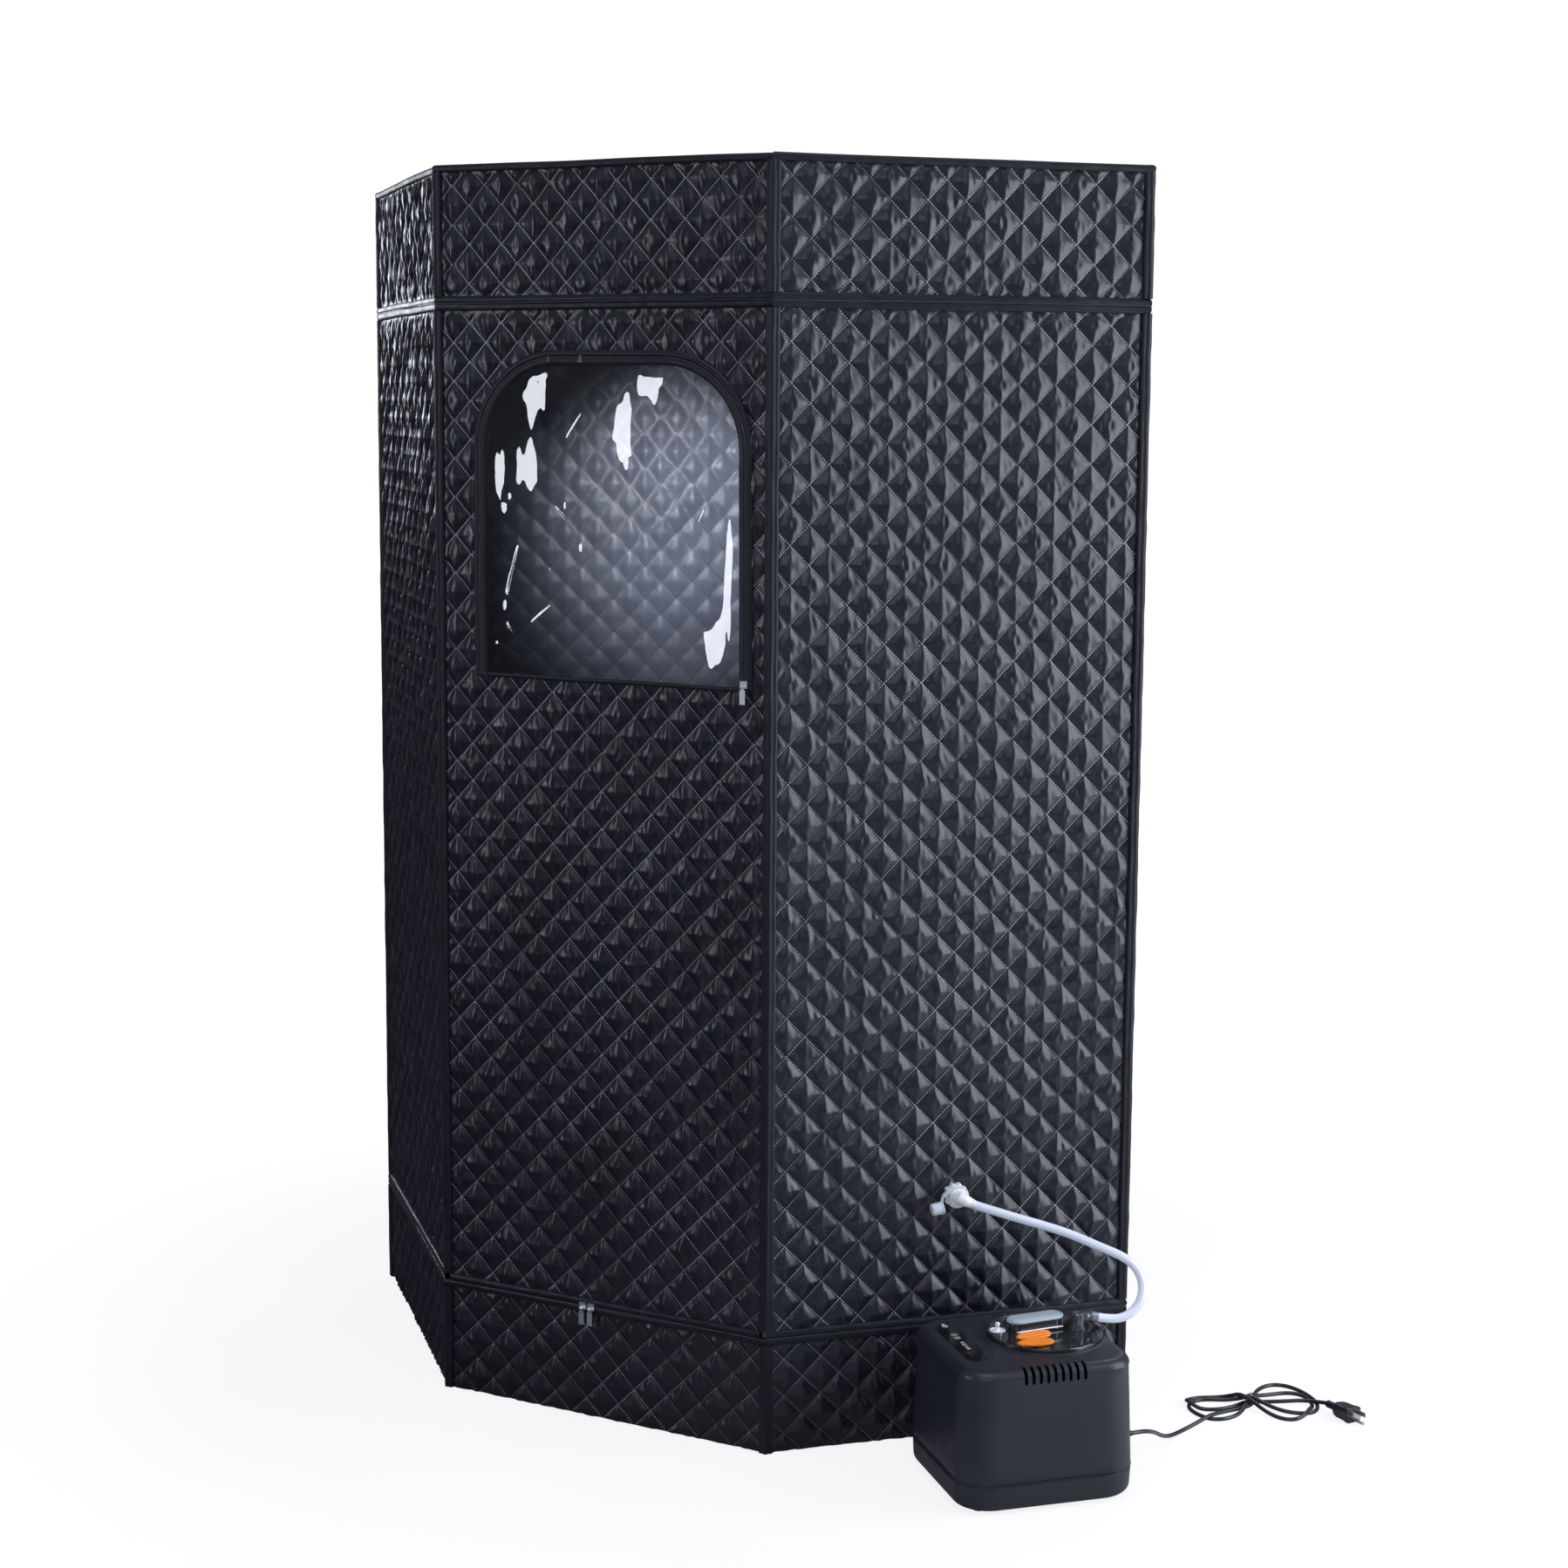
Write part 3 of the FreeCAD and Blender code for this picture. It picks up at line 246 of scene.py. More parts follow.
def quilt_material(name, cloth, thread, roughness=0.30, gloss=0.6):
    """Satin cloth with a diamond grid of dashed stitches, from the panel's own coordinates in metres."""
    n = Nodes(name)
    uv = n.node("UVMap", uv_map="cloth").outputs[0]
    split = n.node("SeparateXYZ", {0: uv})
    across = n.math("DIVIDE", split.outputs[0], DIAMOND)
    up = n.math("DIVIDE", split.outputs[1], DIAMOND)
    rising, falling = n.math("SUBTRACT", up, across), n.math("ADD", up, across)
    pitch = DIAMOND * math.sqrt(0.5)
    threads = []
    for line, run in ((rising, falling), (falling, rising)):
        distance = n.math("MULTIPLY", n.math("PINGPONG", line, 0.5), pitch)
        on_line = n.math("LESS_THAN", distance, 0.00055)
        dash = n.math("LESS_THAN", n.math("FRACT", n.math("MULTIPLY", run, pitch / 0.0042)), 0.55)
        threads.append(n.math("MULTIPLY", on_line, dash))
    stitch = n.math("MAXIMUM", *threads)
    thread = n.mix(n.spread(n.noise(5.0, 2.0, uv), 0.42, 0.62), tuple(c * 0.3 for c in thread[:3]) + (1,), thread)
    shade = n.noise(9.0, 2.0, uv)
    fine = n.noise(900.0, 2.0, n.node("Mapping", {"Vector": uv, "Scale": (1.0, 0.25, 1.0)}).outputs[0])
    tone = n.spread(shade, 0.3, 0.7, 0.85, 1.18)
    base = n.node("HueSaturation", {"Value": tone, "Color": cloth}).outputs[0]
    worn = n.spread(n.noise(40.0, 4.0, uv), 0.35, 0.75)
    rough = n.spread(worn, 0.0, 1.0, roughness - 0.05, roughness + 0.07)
    color = n.mix(stitch, base, thread)
    height = n.math("ADD", n.math("MULTIPLY", fine, 0.12), stitch)
    normal = n.bump(height, 0.35, 0.0004)
    return n.surface(color, rough, normal, sheen_weight=0.08, sheen_roughness=0.4,
                     sheen_tint=(0.6, 0.63, 0.75, 1.0), specular_ior_level=gloss)


def tape_material(name, color, roughness=0.42):
    """Woven tape: fine ribs with a satin face."""
    n = Nodes(name)
    where = n.place((1, 1, 1))
    ribs = n.noise(1400.0, 2.0, where)
    wear = n.noise(22.0, 3.0, where)
    tone = n.node("HueSaturation", {"Value": n.spread(wear, 0.3, 0.7, 0.85, 1.25), "Color": color}).outputs[0]
    return n.surface(tone, n.spread(wear, 0.3, 0.7, roughness - 0.04, roughness + 0.08),
                     n.bump(ribs, 0.25, 0.0003), sheen_weight=0.05, sheen_roughness=0.45, specular_ior_level=0.28)


def plain_material(name, color, roughness, grain=600.0, depth=0.0001, vary=0.08, **extra):
    """Moulded plastic, rubber or painted metal with a fine grain and slight variation."""
    n = Nodes(name)
    where = n.place()
    tone = n.spread(n.noise(14.0, 3.0, where), 0.3, 0.7, 1 - vary, 1 + vary)
    base = n.node("HueSaturation", {"Value": tone, "Color": color}).outputs[0]
    rough = n.spread(n.noise(35.0, 3.0, where), 0.3, 0.7, max(0.02, roughness - 0.05), roughness + 0.05)
    return n.surface(base, rough, n.bump(n.noise(grain, 2.0, where), 0.3, depth), **extra)


def clear_material(name, tint, roughness, haze, extra=0.05):
    """Thin clear plastic: mostly see-through, with a mirror-like face and a little haze."""
    n = Nodes(name)
    see = n.node("BsdfTransparent", {"Color": tint})
    dull = n.node("BsdfDiffuse", {"Color": (0.62, 0.66, 0.74, 1)})
    gloss = n.node("BsdfGlossy", {"Color": (1, 1, 1, 1), "Roughness": roughness})
    body = n.node("MixShader", {0: haze, 1: see.outputs[0], 2: dull.outputs[0]})
    face = n.math("ADD", n.node("Fresnel", {"IOR": 1.45}).outputs[0], extra)
    both = n.node("MixShader", {0: face, 1: body.outputs[0], 2: gloss.outputs[0]})
    n.tree.links.new(both.outputs[0], n.output.inputs[0])
    return n.material


QUILT = quilt_material("quilt", (0.0085, 0.0095, 0.0170, 1), (0.55, 0.56, 0.60, 1), 0.35)
LINING = quilt_material("lining", (0.150, 0.162, 0.215, 1), (0.02, 0.024, 0.05, 1), 0.42, 0.45)
BINDING = tape_material("binding", (0.0130, 0.0140, 0.0210, 1))
TAPE = tape_material("zip_tape", (0.0120, 0.0130, 0.0200, 1), 0.36)
COIL = plain_material("zip_coil", (0.055, 0.058, 0.072, 1), 0.3, 900.0, 0.0002)
FLOOR_CLOTH = tape_material("floor_cloth", (0.010, 0.010, 0.014, 1), 0.5)
CLEAR_FILM = clear_material("clear_film", (0.93, 0.95, 0.97, 1), 0.002, 0.010)
METAL = plain_material("zip_metal", (0.90, 0.91, 0.93, 1), 0.32, 500.0, 0.00003, metallic=1.0)
TUBE = plain_material("frame_tube", (0.62, 0.63, 0.65, 1), 0.35, 400.0, 0.00005, metallic=0.6)
JOINT = plain_material("joint_plastic", (0.02, 0.02, 0.022, 1), 0.45)
WHITE = plain_material("inlet_white", (0.92, 0.93, 0.95, 1), 0.32, 300.0, 0.00005, 0.03)
CLEAR = clear_material("clear_plastic", (0.80, 0.82, 0.85, 1), 0.05, 0.10)
AMBER = clear_material("herb_box_plastic", (0.62, 0.44, 0.34, 1), 0.04, 0.05)
FITTING = clear_material("fitting_plastic", (0.56, 0.57, 0.60, 1), 0.06, 0.10)
SMOKY = clear_material("smoky_clear", (0.40, 0.41, 0.44, 1), 0.05, 0.03)
HOUSING = plain_material("housing", (0.0212, 0.0222, 0.0330, 1), 0.36, 1500.0, 0.00006, 0.10)
FOOT = plain_material("foot_rubber", (0.012, 0.012, 0.013, 1), 0.6)
STAINLESS = plain_material("stainless", (0.60, 0.60, 0.60, 1), 0.28, 200.0, 0.00004, metallic=1.0)
SEAL = plain_material("seal_silicone", (0.60, 0.62, 0.64, 1), 0.4)
CAST = plain_material("cast_plate", (0.45, 0.45, 0.46, 1), 0.5, metallic=1.0)
CAP_GREY = plain_material("cap_grey", (0.47, 0.55, 0.60, 1), 0.22, 300.0, 0.00003, 0.03)
ORANGE = plain_material("latch_orange", (0.95, 0.27, 0.015, 1), 0.32, 300.0, 0.00005, 0.05)
PANEL = plain_material("panel_film", (0.006, 0.006, 0.008, 1), 0.16, 300.0, 0.00002)
DISPLAY = plain_material("display_window", (0.02, 0.024, 0.034, 1), 0.1, 300.0, 0.00001)
KEY = plain_material("key_plastic", (0.012, 0.012, 0.014, 1), 0.25)
BOARD = plain_material("circuit_board", (0.01, 0.07, 0.03, 1), 0.4)
CABLE = plain_material("cable_rubber", (0.024, 0.025, 0.034, 1), 0.26, 700.0, 0.00004)
BLADE = plain_material("plug_blade", (0.86, 0.84, 0.78, 1), 0.25, metallic=1.0)
TIE = plain_material("wire_tie", (0.012, 0.012, 0.013, 1), 0.4)
ICON = plain_material("panel_mark", (0.55, 0.57, 0.60, 1), 0.5, 300.0, 0.00001)
CAP_CLEAR = plain_material("inlet_cap_plastic", (0.80, 0.88, 0.97, 1), 0.3, 300.0, 0.00003, 0.03,
                           transmission_weight=0.12)
# the hose's emission is a painted glow: it stands in for the white backdrop's light shining through the clear silicone
SILICONE_PAINTED_GLOW = plain_material("hose_silicone_painted_glow", (0.86, 0.90, 1.0, 1), 0.16, 300.0, 0.00003, 0.03,
                          transmission_weight=0.12, coat_weight=0.5, emission_color=(0.72, 0.80, 1.0, 1),
                          emission_strength=0.11)

NODE_MATERIALS = {
    FLOOR_CLOTH: ["floor_sheet"],
    METAL: ["door_left_slider", "door_right_slider", "window_slider", "door_left_pull", "door_right_pull",
            "window_pull"],
    TUBE: ["frame_poles", "frame_rails"],
    JOINT: ["pole_sleeves", "corner_connectors"],
    WHITE: ["inlet_body", "inlet_nut", "inlet_elbow", "inlet_cap", "relief_valve"],
    AMBER: ["herb_box"],
    FITTING: ["steam_outlet"],
    SMOKY: ["steam_lid"],
    HOUSING: ["steamer_housing", "steamer_base"],
    FOOT: ["steamer_feet"],
    STAINLESS: ["water_tank"],
    SEAL: ["tank_seal"],
    CAST: ["heating_plate"],
    CAP_GREY: ["herb_cap"],
    ORANGE: ["lid_latch"],
    PANEL: ["control_panel", "start_button"],
    DISPLAY: ["display_window"],
    KEY: ["power_key", "timer_key", "heat_key"],
    BOARD: ["control_board"],
    CABLE: ["cord_gland", "cord_tie", "plug_body"],
    BLADE: ["plug_prongs"],
    QUILT: ["left_wall", "back_left_wall", "back_right_wall", "right_wall", "base_panels", "header_panels",
            "door_panel", "roof_panel"],
    BINDING: ["corner_bindings", "roof_edge_binding", "window_frame"],
    TAPE: ["roof_zip_band", "base_zip_band", "door_zip_tape"],
    CLEAR_FILM: ["window_pane"],
}
for material, names in NODE_MATERIALS.items():
    for node_name in names:
        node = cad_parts[node_name]
        node.data.materials.clear()
        node.data.materials.append(material)


# ---------------------------------------------------------------- camera, floor and light

CAMERA_AT = DOOR_CORNER + Vector((2.290, -3.228, 1.476))
CAMERA_HEADING, CAMERA_PITCH, CAMERA_ROLL = 28.09, 8.05, -0.416
LENS = 62.37


def make_camera():
    heading, pitch, roll = (math.radians(a) for a in (CAMERA_HEADING, CAMERA_PITCH, CAMERA_ROLL))
    level = Vector((-math.sin(heading), math.cos(heading), 0))
    across = Vector((math.cos(heading), math.sin(heading), 0))
    ahead = level * math.cos(pitch) - UP * math.sin(pitch)
    over = across.cross(ahead)
    right = across * math.cos(roll) - over * math.sin(roll)
    top = across * math.sin(roll) + over * math.cos(roll)
    data = bpy.data.cameras.new("camera")
    data.lens = LENS
    data.sensor_width = 36
    data.clip_start, data.clip_end = 0.1, 60
    item = add_object("camera", data)
    item.matrix_world = Matrix.Translation(CAMERA_AT) @ Matrix((right, top, -ahead)).transposed().to_4x4()
    bpy.context.scene.camera = item


def camera_share(tree):
    return tree.nodes.new("ShaderNodeLightPath").outputs["Is Camera Ray"]


def make_stage():
    """A pale floor that runs out to white, and even light from all round."""
    n = Nodes("studio_floor")
    rightward = n.node("SeparateXYZ", {0: n.place()}).outputs[0]
    # what other surfaces see and get back from the floor is painted light and shade: near black on its left, pale on
    # its right towards the key lamp, though the floor itself is evenly pale
    painted_bounce_light = n.mix(n.spread(rightward, -0.5, 0.9), (0.07, 0.07, 0.08, 1), (0.62, 0.62, 0.63, 1))
    plain = n.node("BsdfDiffuse", {"Color": painted_bounce_light})
    shade = n.node("BsdfDiffuse", {"Color": (0.20, 0.20, 0.205, 1)})
    far = n.node("VectorMath", {0: n.place()}, operation="LENGTH").outputs["Value"]
    glow = n.node("Emission", {"Color": (1, 1, 1, 1), "Strength": n.spread(far, 0.9, 3.0, 0.84, 1.05)})
    seen = n.node("AddShader", {0: shade.outputs[0], 1: glow.outputs[0]})
    both = n.node("MixShader", {0: camera_share(n.tree), 1: plain.outputs[0], 2: seen.outputs[0]})
    n.tree.links.new(both.outputs[0], n.output.inputs[0])
    floor = make_mesh("studio_floor", [(-30, -30, 0), (30, -30, 0), (30, 30, 0), (-30, 30, 0)], [(0, 1, 2, 3)],
                      n.material)
    world = bpy.data.worlds.new("studio")
    world.use_nodes = True
    tree = world.node_tree
    tree.nodes.clear()
    backdrop = tree.nodes.new("ShaderNodeBackground")
    backdrop.inputs[0].default_value = (1, 1, 1, 1)
    backdrop.inputs[1].default_value = 1.05
    light = tree.nodes.new("ShaderNodeBackground")
    light.inputs[0].default_value = (0.80, 0.88, 1, 1)
    upward = tree.nodes.new("ShaderNodeSeparateXYZ")
    tree.links.new(tree.nodes.new("ShaderNodeTexCoord").outputs["Generated"], upward.inputs[0])
    strength = tree.nodes.new("ShaderNodeMapRange")
    for socket, value in ((1, 0.0), (2, 0.7), (3, 0.075), (4, 0.26)):
        strength.inputs[socket].default_value = value
    tree.links.new(upward.outputs[2], strength.inputs[0])
    tree.links.new(strength.outputs[0], light.inputs[1])
    pick = tree.nodes.new("ShaderNodeMixShader")
    out = tree.nodes.new("ShaderNodeOutputWorld")
    tree.links.new(camera_share(tree), pick.inputs[0])
    tree.links.new(light.outputs[0], pick.inputs[1])
    tree.links.new(backdrop.outputs[0], pick.inputs[2])
    tree.links.new(pick.outputs[0], out.inputs[0])
    bpy.context.scene.world = world
    bpy.context.scene.view_settings.view_transform = "Standard"


def soft_light(name, azimuth, elevation, distance, width, height, power, target=Vector((0, 0, 0.9)),
               color=(1, 1, 1)):
    """A rectangular lamp; azimuth 0 stands in front of the door and 90 to its right."""
    a, e = math.radians(azimuth), math.radians(elevation)
    back = Vector((math.sin(a) * math.cos(e), -math.cos(a) * math.cos(e), math.sin(e)))
    data = bpy.data.lights.new(name, "AREA")
    data.shape = "RECTANGLE"
    data.size, data.size_y = width, height
    data.energy = power
    data.color = color
    item = add_object(name, data)
    item.matrix_world = Matrix.Translation(target + back * distance) @ back.to_track_quat("Z", "Y").to_matrix().to_4x4()
    return item


def make_lights():
    cool, window_middle = (0.88, 0.91, 1.0), wall_point("front", WINDOW_MID, 0, 1.30)
    soft_light("key", 98, 7.5, 2.7, 1.9, 2.5, 68, color=cool)
    soft_light("top_fill", 30, 68, 4.5, 2.5, 2.5, 55, color=cool)
    soft_light("camera_fill", 24, 20, 4.6, 2.2, 2.2, 22, color=cool)
    soft_light("left_rim", -118, 5, 4.5, 1.0, 1.1, 30, Vector((-0.3, 0, 1.55)), cool)
    soft_light("back_fill", 190, 45, 5.0, 2.5, 2.5, 50)
    soft_light("window_light", -43, 4, 5.0, 0.66, 2.2, 42, window_middle, cool)
    data = bpy.data.lights.new("lining_light", "SPOT")
    data.energy, data.color = 17, (0.93, 0.96, 1.0)
    data.spot_size, data.spot_blend, data.shadow_soft_size = math.radians(54), 1.0, 0.03
    item = add_object("lining_light", data)
    back = Vector((0.51, -0.40, 0.145)).normalized()
    item.matrix_world = (Matrix.Translation(DOOR_CORNER + Vector((0.48, 0.36, 1.40)))
                         @ back.to_track_quat("Z", "Y").to_matrix().to_4x4())


# ---------------------------------------------------------------- quilted panels

PUFF = 0.0075
SEAM_DEPTH = 0.0035


def quilt_height(across, up, seed):
    """How far the wadding stands up: each diamond has an upright ridge, creased by the pull of its stitches."""
    rising, falling = (across + up) / DIAMOND, (across - up) / DIAMOND
    i, j = np.floor(rising).astype(int), np.floor(falling).astype(int)
    p, q = rising - i - 0.5, falling - j - 0.5
    x, y = (p + q) / 2, (p - q) / 2
    table = np.random.RandomState(seed).uniform(0, 1, (4, 131, 131))
    shift, size, eye, lean = (table[k, i % 131, j % 131] for k in range(4))
    span = np.maximum(0.5 - np.abs(y), 1e-4)
    ridge = (shift - 0.5) * 0.13 * (span / 0.5)
    reach = np.where(x > ridge, span - ridge, span + ridge)
    side = np.clip(np.abs(x - ridge) / np.maximum(reach, 1e-4), 0, 1)
    roof = (1 - side) ** 0.9 * (span / 0.5) ** 0.40
    pillow = 1 - 2 * np.maximum(np.abs(p), np.abs(q))
    inside = ease(pillow / 0.35)
    height = PUFF * (0.7 + 0.42 * size) * (0.84 * roof + 0.16 * pillow ** 0.6)
    dent = np.exp(-((x - ridge) / (0.045 + 0.03 * lean)) ** 2 - (y / (0.13 + 0.06 * size)) ** 2)
    height -= 0.0016 * dent * (eye > 0.42)
    height += 0.00075 * inside * smooth_noise(across, up, 0.0065, 0.030, seed + 1)
    height += 0.00055 * inside * smooth_noise(across + 0.3 * up, up, 0.0048, 0.016, seed + 2)
    return height


def panel_place(side, across, up, edges, seed, inner=False):
    """Points of one skin of a wall panel; edges are its left, right, low and high limits."""
    left, right, low, high = edges
    upright = np.minimum(across - left, right - across)
    level = np.minimum(up - low, high - up)
    rim = np.minimum(upright, level)
    puff = quilt_height(across, up, seed)
    gather = np.exp(-level / 0.016) * 0.0017 * smooth_noise(across, up, 0.0085, 0.07, seed + 5)
    gather += np.exp(-upright / 0.013) * 0.0010 * smooth_noise(across, up, 0.07, 0.010, seed + 6)
    sway = 0.0030 * smooth_noise(across, up, 0.23, 0.34, seed + 7) * ease(rim / 0.09)
    settle = ease(rim / 0.012)
    if inner:
        inward = 0.0055 + 0.75 * puff * ease(rim / 0.07)
        inward = np.minimum(inward, 0.0125) + gather * 0.5
    else:
        inward = (SEAM_DEPTH - puff) * settle + 0.0013 * (1 - settle) - gather
    return place_array(side, across, inward + sway, up)


def wall_grid(edges, step):
    left, right, low, high = edges
    columns, rows = round((right - left) / step) + 1, round((high - low) / step) + 1
    return np.meshgrid(np.linspace(left, right, columns), np.linspace(low, high, rows))


def panel_skin(name, side, edges, step, material, seed, inner=False):
    across, up = wall_grid(edges, step)
    points = panel_place(side, across, up, edges, seed, inner)
    return skin(name, points, material, uv=np.stack([across, up], axis=-1))


def cropped_skin(name, across, up, outside, place, material):
    """A dense grid cut to a shape: outside() is the distance beyond its line, and edge points are moved onto it."""
    rows, columns = across.shape
    quads = grid_quads(rows, columns)
    a, z = across.ravel().copy(), up.ravel().copy()
    keep = outside(a[quads].mean(axis=1), z[quads].mean(axis=1)) > 0
    quads = quads[keep]
    used = np.unique(quads)
    a, z = a[used], z[used]
    quads = np.searchsorted(used, quads)
    small = 1e-5
    for _ in range(2):
        d = outside(a, z)
        slope_a = (outside(a + small, z) - outside(a - small, z)) / (2 * small)
        slope_z = (outside(a, z + small) - outside(a, z - small)) / (2 * small)
        push = np.where(d < 0, -d, 0)
        a, z = a + push * slope_a, z + push * slope_z
    return make_mesh(name, place(a, z), quads, material, uv=np.stack([a, z], axis=-1))


def outside_window(across, up, margin=0.002):
    """Distance outside the window's opening, whose top corners are round."""
    x, y = np.abs(across - WINDOW_MID), up - WINDOW_LOW
    over_x = np.maximum(x - (WINDOW_HALF - WINDOW_ROUND), 0)
    over_y = y - (WINDOW_TALL - WINDOW_ROUND)
    top = np.hypot(over_x, np.maximum(over_y, 0)) - WINDOW_ROUND
    return np.maximum(np.where(over_y > 0, top, x - WINDOW_HALF), -y) - margin


def side_edges(side, low, high):
    return CORNER_GAP - 0.001, WALLS[side][2] - CORNER_GAP + 0.001, low, high


# grid steps of the quilted cloth, and how far the door's lining stops short of the door's edges
FINE_STEP, BACK_STEP, LINING_STEP, DOOR_LINING_STEP = 0.00233, 0.0046, 0.0052, 0.0045
LINING_SHY_SIDE, LINING_SHY_TOP = 0.006, 0.005


def make_panels():
    for number, side in enumerate(WALLS):
        step = FINE_STEP if side in ("front", "right", "left") else BACK_STEP
        runs = [("base", 0.0015, BASE_BAND[0] + 0.001, "base_panels"),
                ("wall", LOW_WALL - 0.001, HIGH_WALL + 0.001, f"{side}_wall"),
                ("header", ROOF_BAND[1] - 0.001, EDGE_LOW + 0.001, "header_panels")]
        for order, (part, low, high, node) in enumerate(runs):
            edges = side_edges(side, low, high)
            seed = 100 * number + 20 * order + 7
            if side == "front" and part == "wall":
                continue
            outer = panel_skin(f"soft_{side}_{part}", side, edges, step, QUILT, seed)
            lining = panel_skin(f"soft_{side}_{part}_lining", side, edges, LINING_STEP, LINING, seed, inner=True)
            for item in (outer, lining):
                finish_piece(item, "cabin", "quilt", node)

    edges = side_edges("front", LOW_WALL - 0.001, HIGH_WALL)
    shy = (edges[0] + LINING_SHY_SIDE, edges[1] - LINING_SHY_SIDE, edges[2], edges[3] - LINING_SHY_TOP)
    for name, step, inner, material in (("soft_door", FINE_STEP, False, QUILT),
                                        ("soft_door_lining", DOOR_LINING_STEP, True, LINING)):
        across, up = wall_grid(shy if inner else edges, step)
        piece = cropped_skin(name, across, up, outside_window,
                             lambda a, z, inner=inner: panel_place("front", a, z, edges, 907, inner), material)
        finish_piece(piece, "door", "quilt", "door_panel")


# ---------------------------------------------------------------- roof and floor sheets

def inside_plan(x, y, inset):
    """Distance inside the cabin's plan, in the door's own frame."""
    least = None
    for (start_x, start_y), heading, _ in WALLS.values():
        into = direction(heading + 90)
        d = (x - start_x) * into.x + (y - start_y) * into.y
        least = d if least is None else np.minimum(least, d)
    return least - inset


def plan_sheet(name, step, inset, level, material):
    """A sheet over the whole plan; level gives its height from x and y."""
    far = REACH + BACK_SIDE * math.sqrt(0.5)
    xs, ys = np.arange(-REACH - step, SIDE + REACH + step, step), np.arange(-step, far + step, step)
    x, y = np.meshgrid(xs, ys)
    return cropped_skin(name, x, y, lambda a, b: inside_plan(a, b, inset),
                        lambda a, b: np.stack([a + DOOR_CORNER.x, b + DOOR_CORNER.y, level(a, b)], axis=-1), material)


def make_sheets():
    def roof_level(x, y):
        rim = inside_plan(x, y, 0.0075)
        sag = 0.0045 * ease(rim / 0.25)
        return 1.7965 - sag + 0.75 * quilt_height(x, y, 61) * ease(rim / 0.015) \
            + 0.0015 * smooth_noise(x, y, 0.2, 0.2, 63) * ease(rim / 0.1)

    roof = finish_piece(plan_sheet("soft_roof", 0.0046, 0.0065, roof_level, QUILT), "cabin", "quilt", "roof_panel")
    lining = finish_piece(
        plan_sheet("soft_roof_lining", 0.008, 0.0075,
                   lambda x, y: 1.7955 - 0.0045 * ease(inside_plan(x, y, 0.0075) / 0.25) - 0.3 * quilt_height(x, y, 61)
                   * ease(inside_plan(x, y, 0.03) / 0.02), LINING), "cabin", "quilt", "roof_panel")
    floor = plan_sheet("soft_floor", 0.012, 0.0065,
                       lambda x, y: 0.0012 + 0.0009 * (1 + smooth_noise(x, y, 0.09, 0.12, 71)), FLOOR_CLOTH)
    finish_piece(floor, "cabin", "floor_fabric", "floor_sheet")


# ---------------------------------------------------------------- bands and bindings

def run_points(side, along, out, up):
    """Wall points where out may differ from point to point; both ends are mitred at the corners."""
    start, end = (math.tan(math.radians(turn / 2)) for turn in (TURN_AT_START[side], TURN_AT_END[side]))
    length = WALLS[side][2]
    along = np.where(along <= 0, -out * start, np.where(along >= length, length + out * end, along))
    return place_array(side, along, -out, up)


def band_run(name, side, low, high, profile, seed, limits=None, material=None):
    """One stretch of a band: profile rows are (share of its height, distance out)."""
    first, last = limits or (0, WALLS[side][2])
    along = np.linspace(first, last, round((last - first) / 0.005) + 1)
    share, out = (np.array(column)[None, :] for column in zip(*profile))
    along, share = np.broadcast_arrays(along[:, None], share)
    up = low + (high - low) * share
    pucker = 0.00045 * smooth_noise(along, up, 0.013, 0.03, seed) * (out > 0)
    wave = 0.0009 * smooth_noise(along, up * 0, 0.16, 1, seed + 1)
    lift = 0.0007 * smooth_noise(along, up * 0, 0.11, 1, seed + 2)
    points = run_points(side, along, out + pucker + wave * (out > 0), up + lift)
    return skin(name, points, material or TAPE)


FULL_BAND = [(-0.02, -0.0052), (-0.03, 0.0004), (0.04, 0.0019), (0.16, 0.0026), (0.34, 0.0029), (0.46, 0.0026),
             (0.50, 0.0014), (0.53, 0.0014), (0.57, 0.0031), (0.72, 0.0033), (0.88, 0.0028), (0.97, 0.0018),
             (1.03, 0.0004), (1.02, -0.0052)]
LOW_HALF = [(-0.04, -0.0052), (-0.05, 0.0004), (0.07, 0.0019), (0.3, 0.0026), (0.7, 0.0029), (0.95, 0.0020),
            (1.0, 0.0008), (1.0, -0.0045)]
HIGH_HALF = [(0.0, -0.0045), (0.0, 0.0010), (0.06, 0.0024), (0.3, 0.0032), (0.7, 0.0030), (0.94, 0.0018),
             (1.05, 0.0004), (1.04, -0.0052)]


def teeth_line(name, side, up, out, limits=None, radius=0.0008):
    """The zip's fine bright line along a band."""
    first, last = limits or (0, WALLS[side][2])
    along = np.linspace(first, last, round((last - first) / 0.006) + 1)[:, None]
    turn = np.linspace(0, 2 * math.pi, 7)[None, :-1]
    along, turn = np.broadcast_arrays(along, turn)
    lift = 0.0007 * smooth_noise(along, along * 0, 0.11, 1, 5)
    points = run_points(side, along, out + radius * np.cos(turn), up + lift + radius * np.sin(turn))
    return skin(name, points, COIL, join_columns=True)


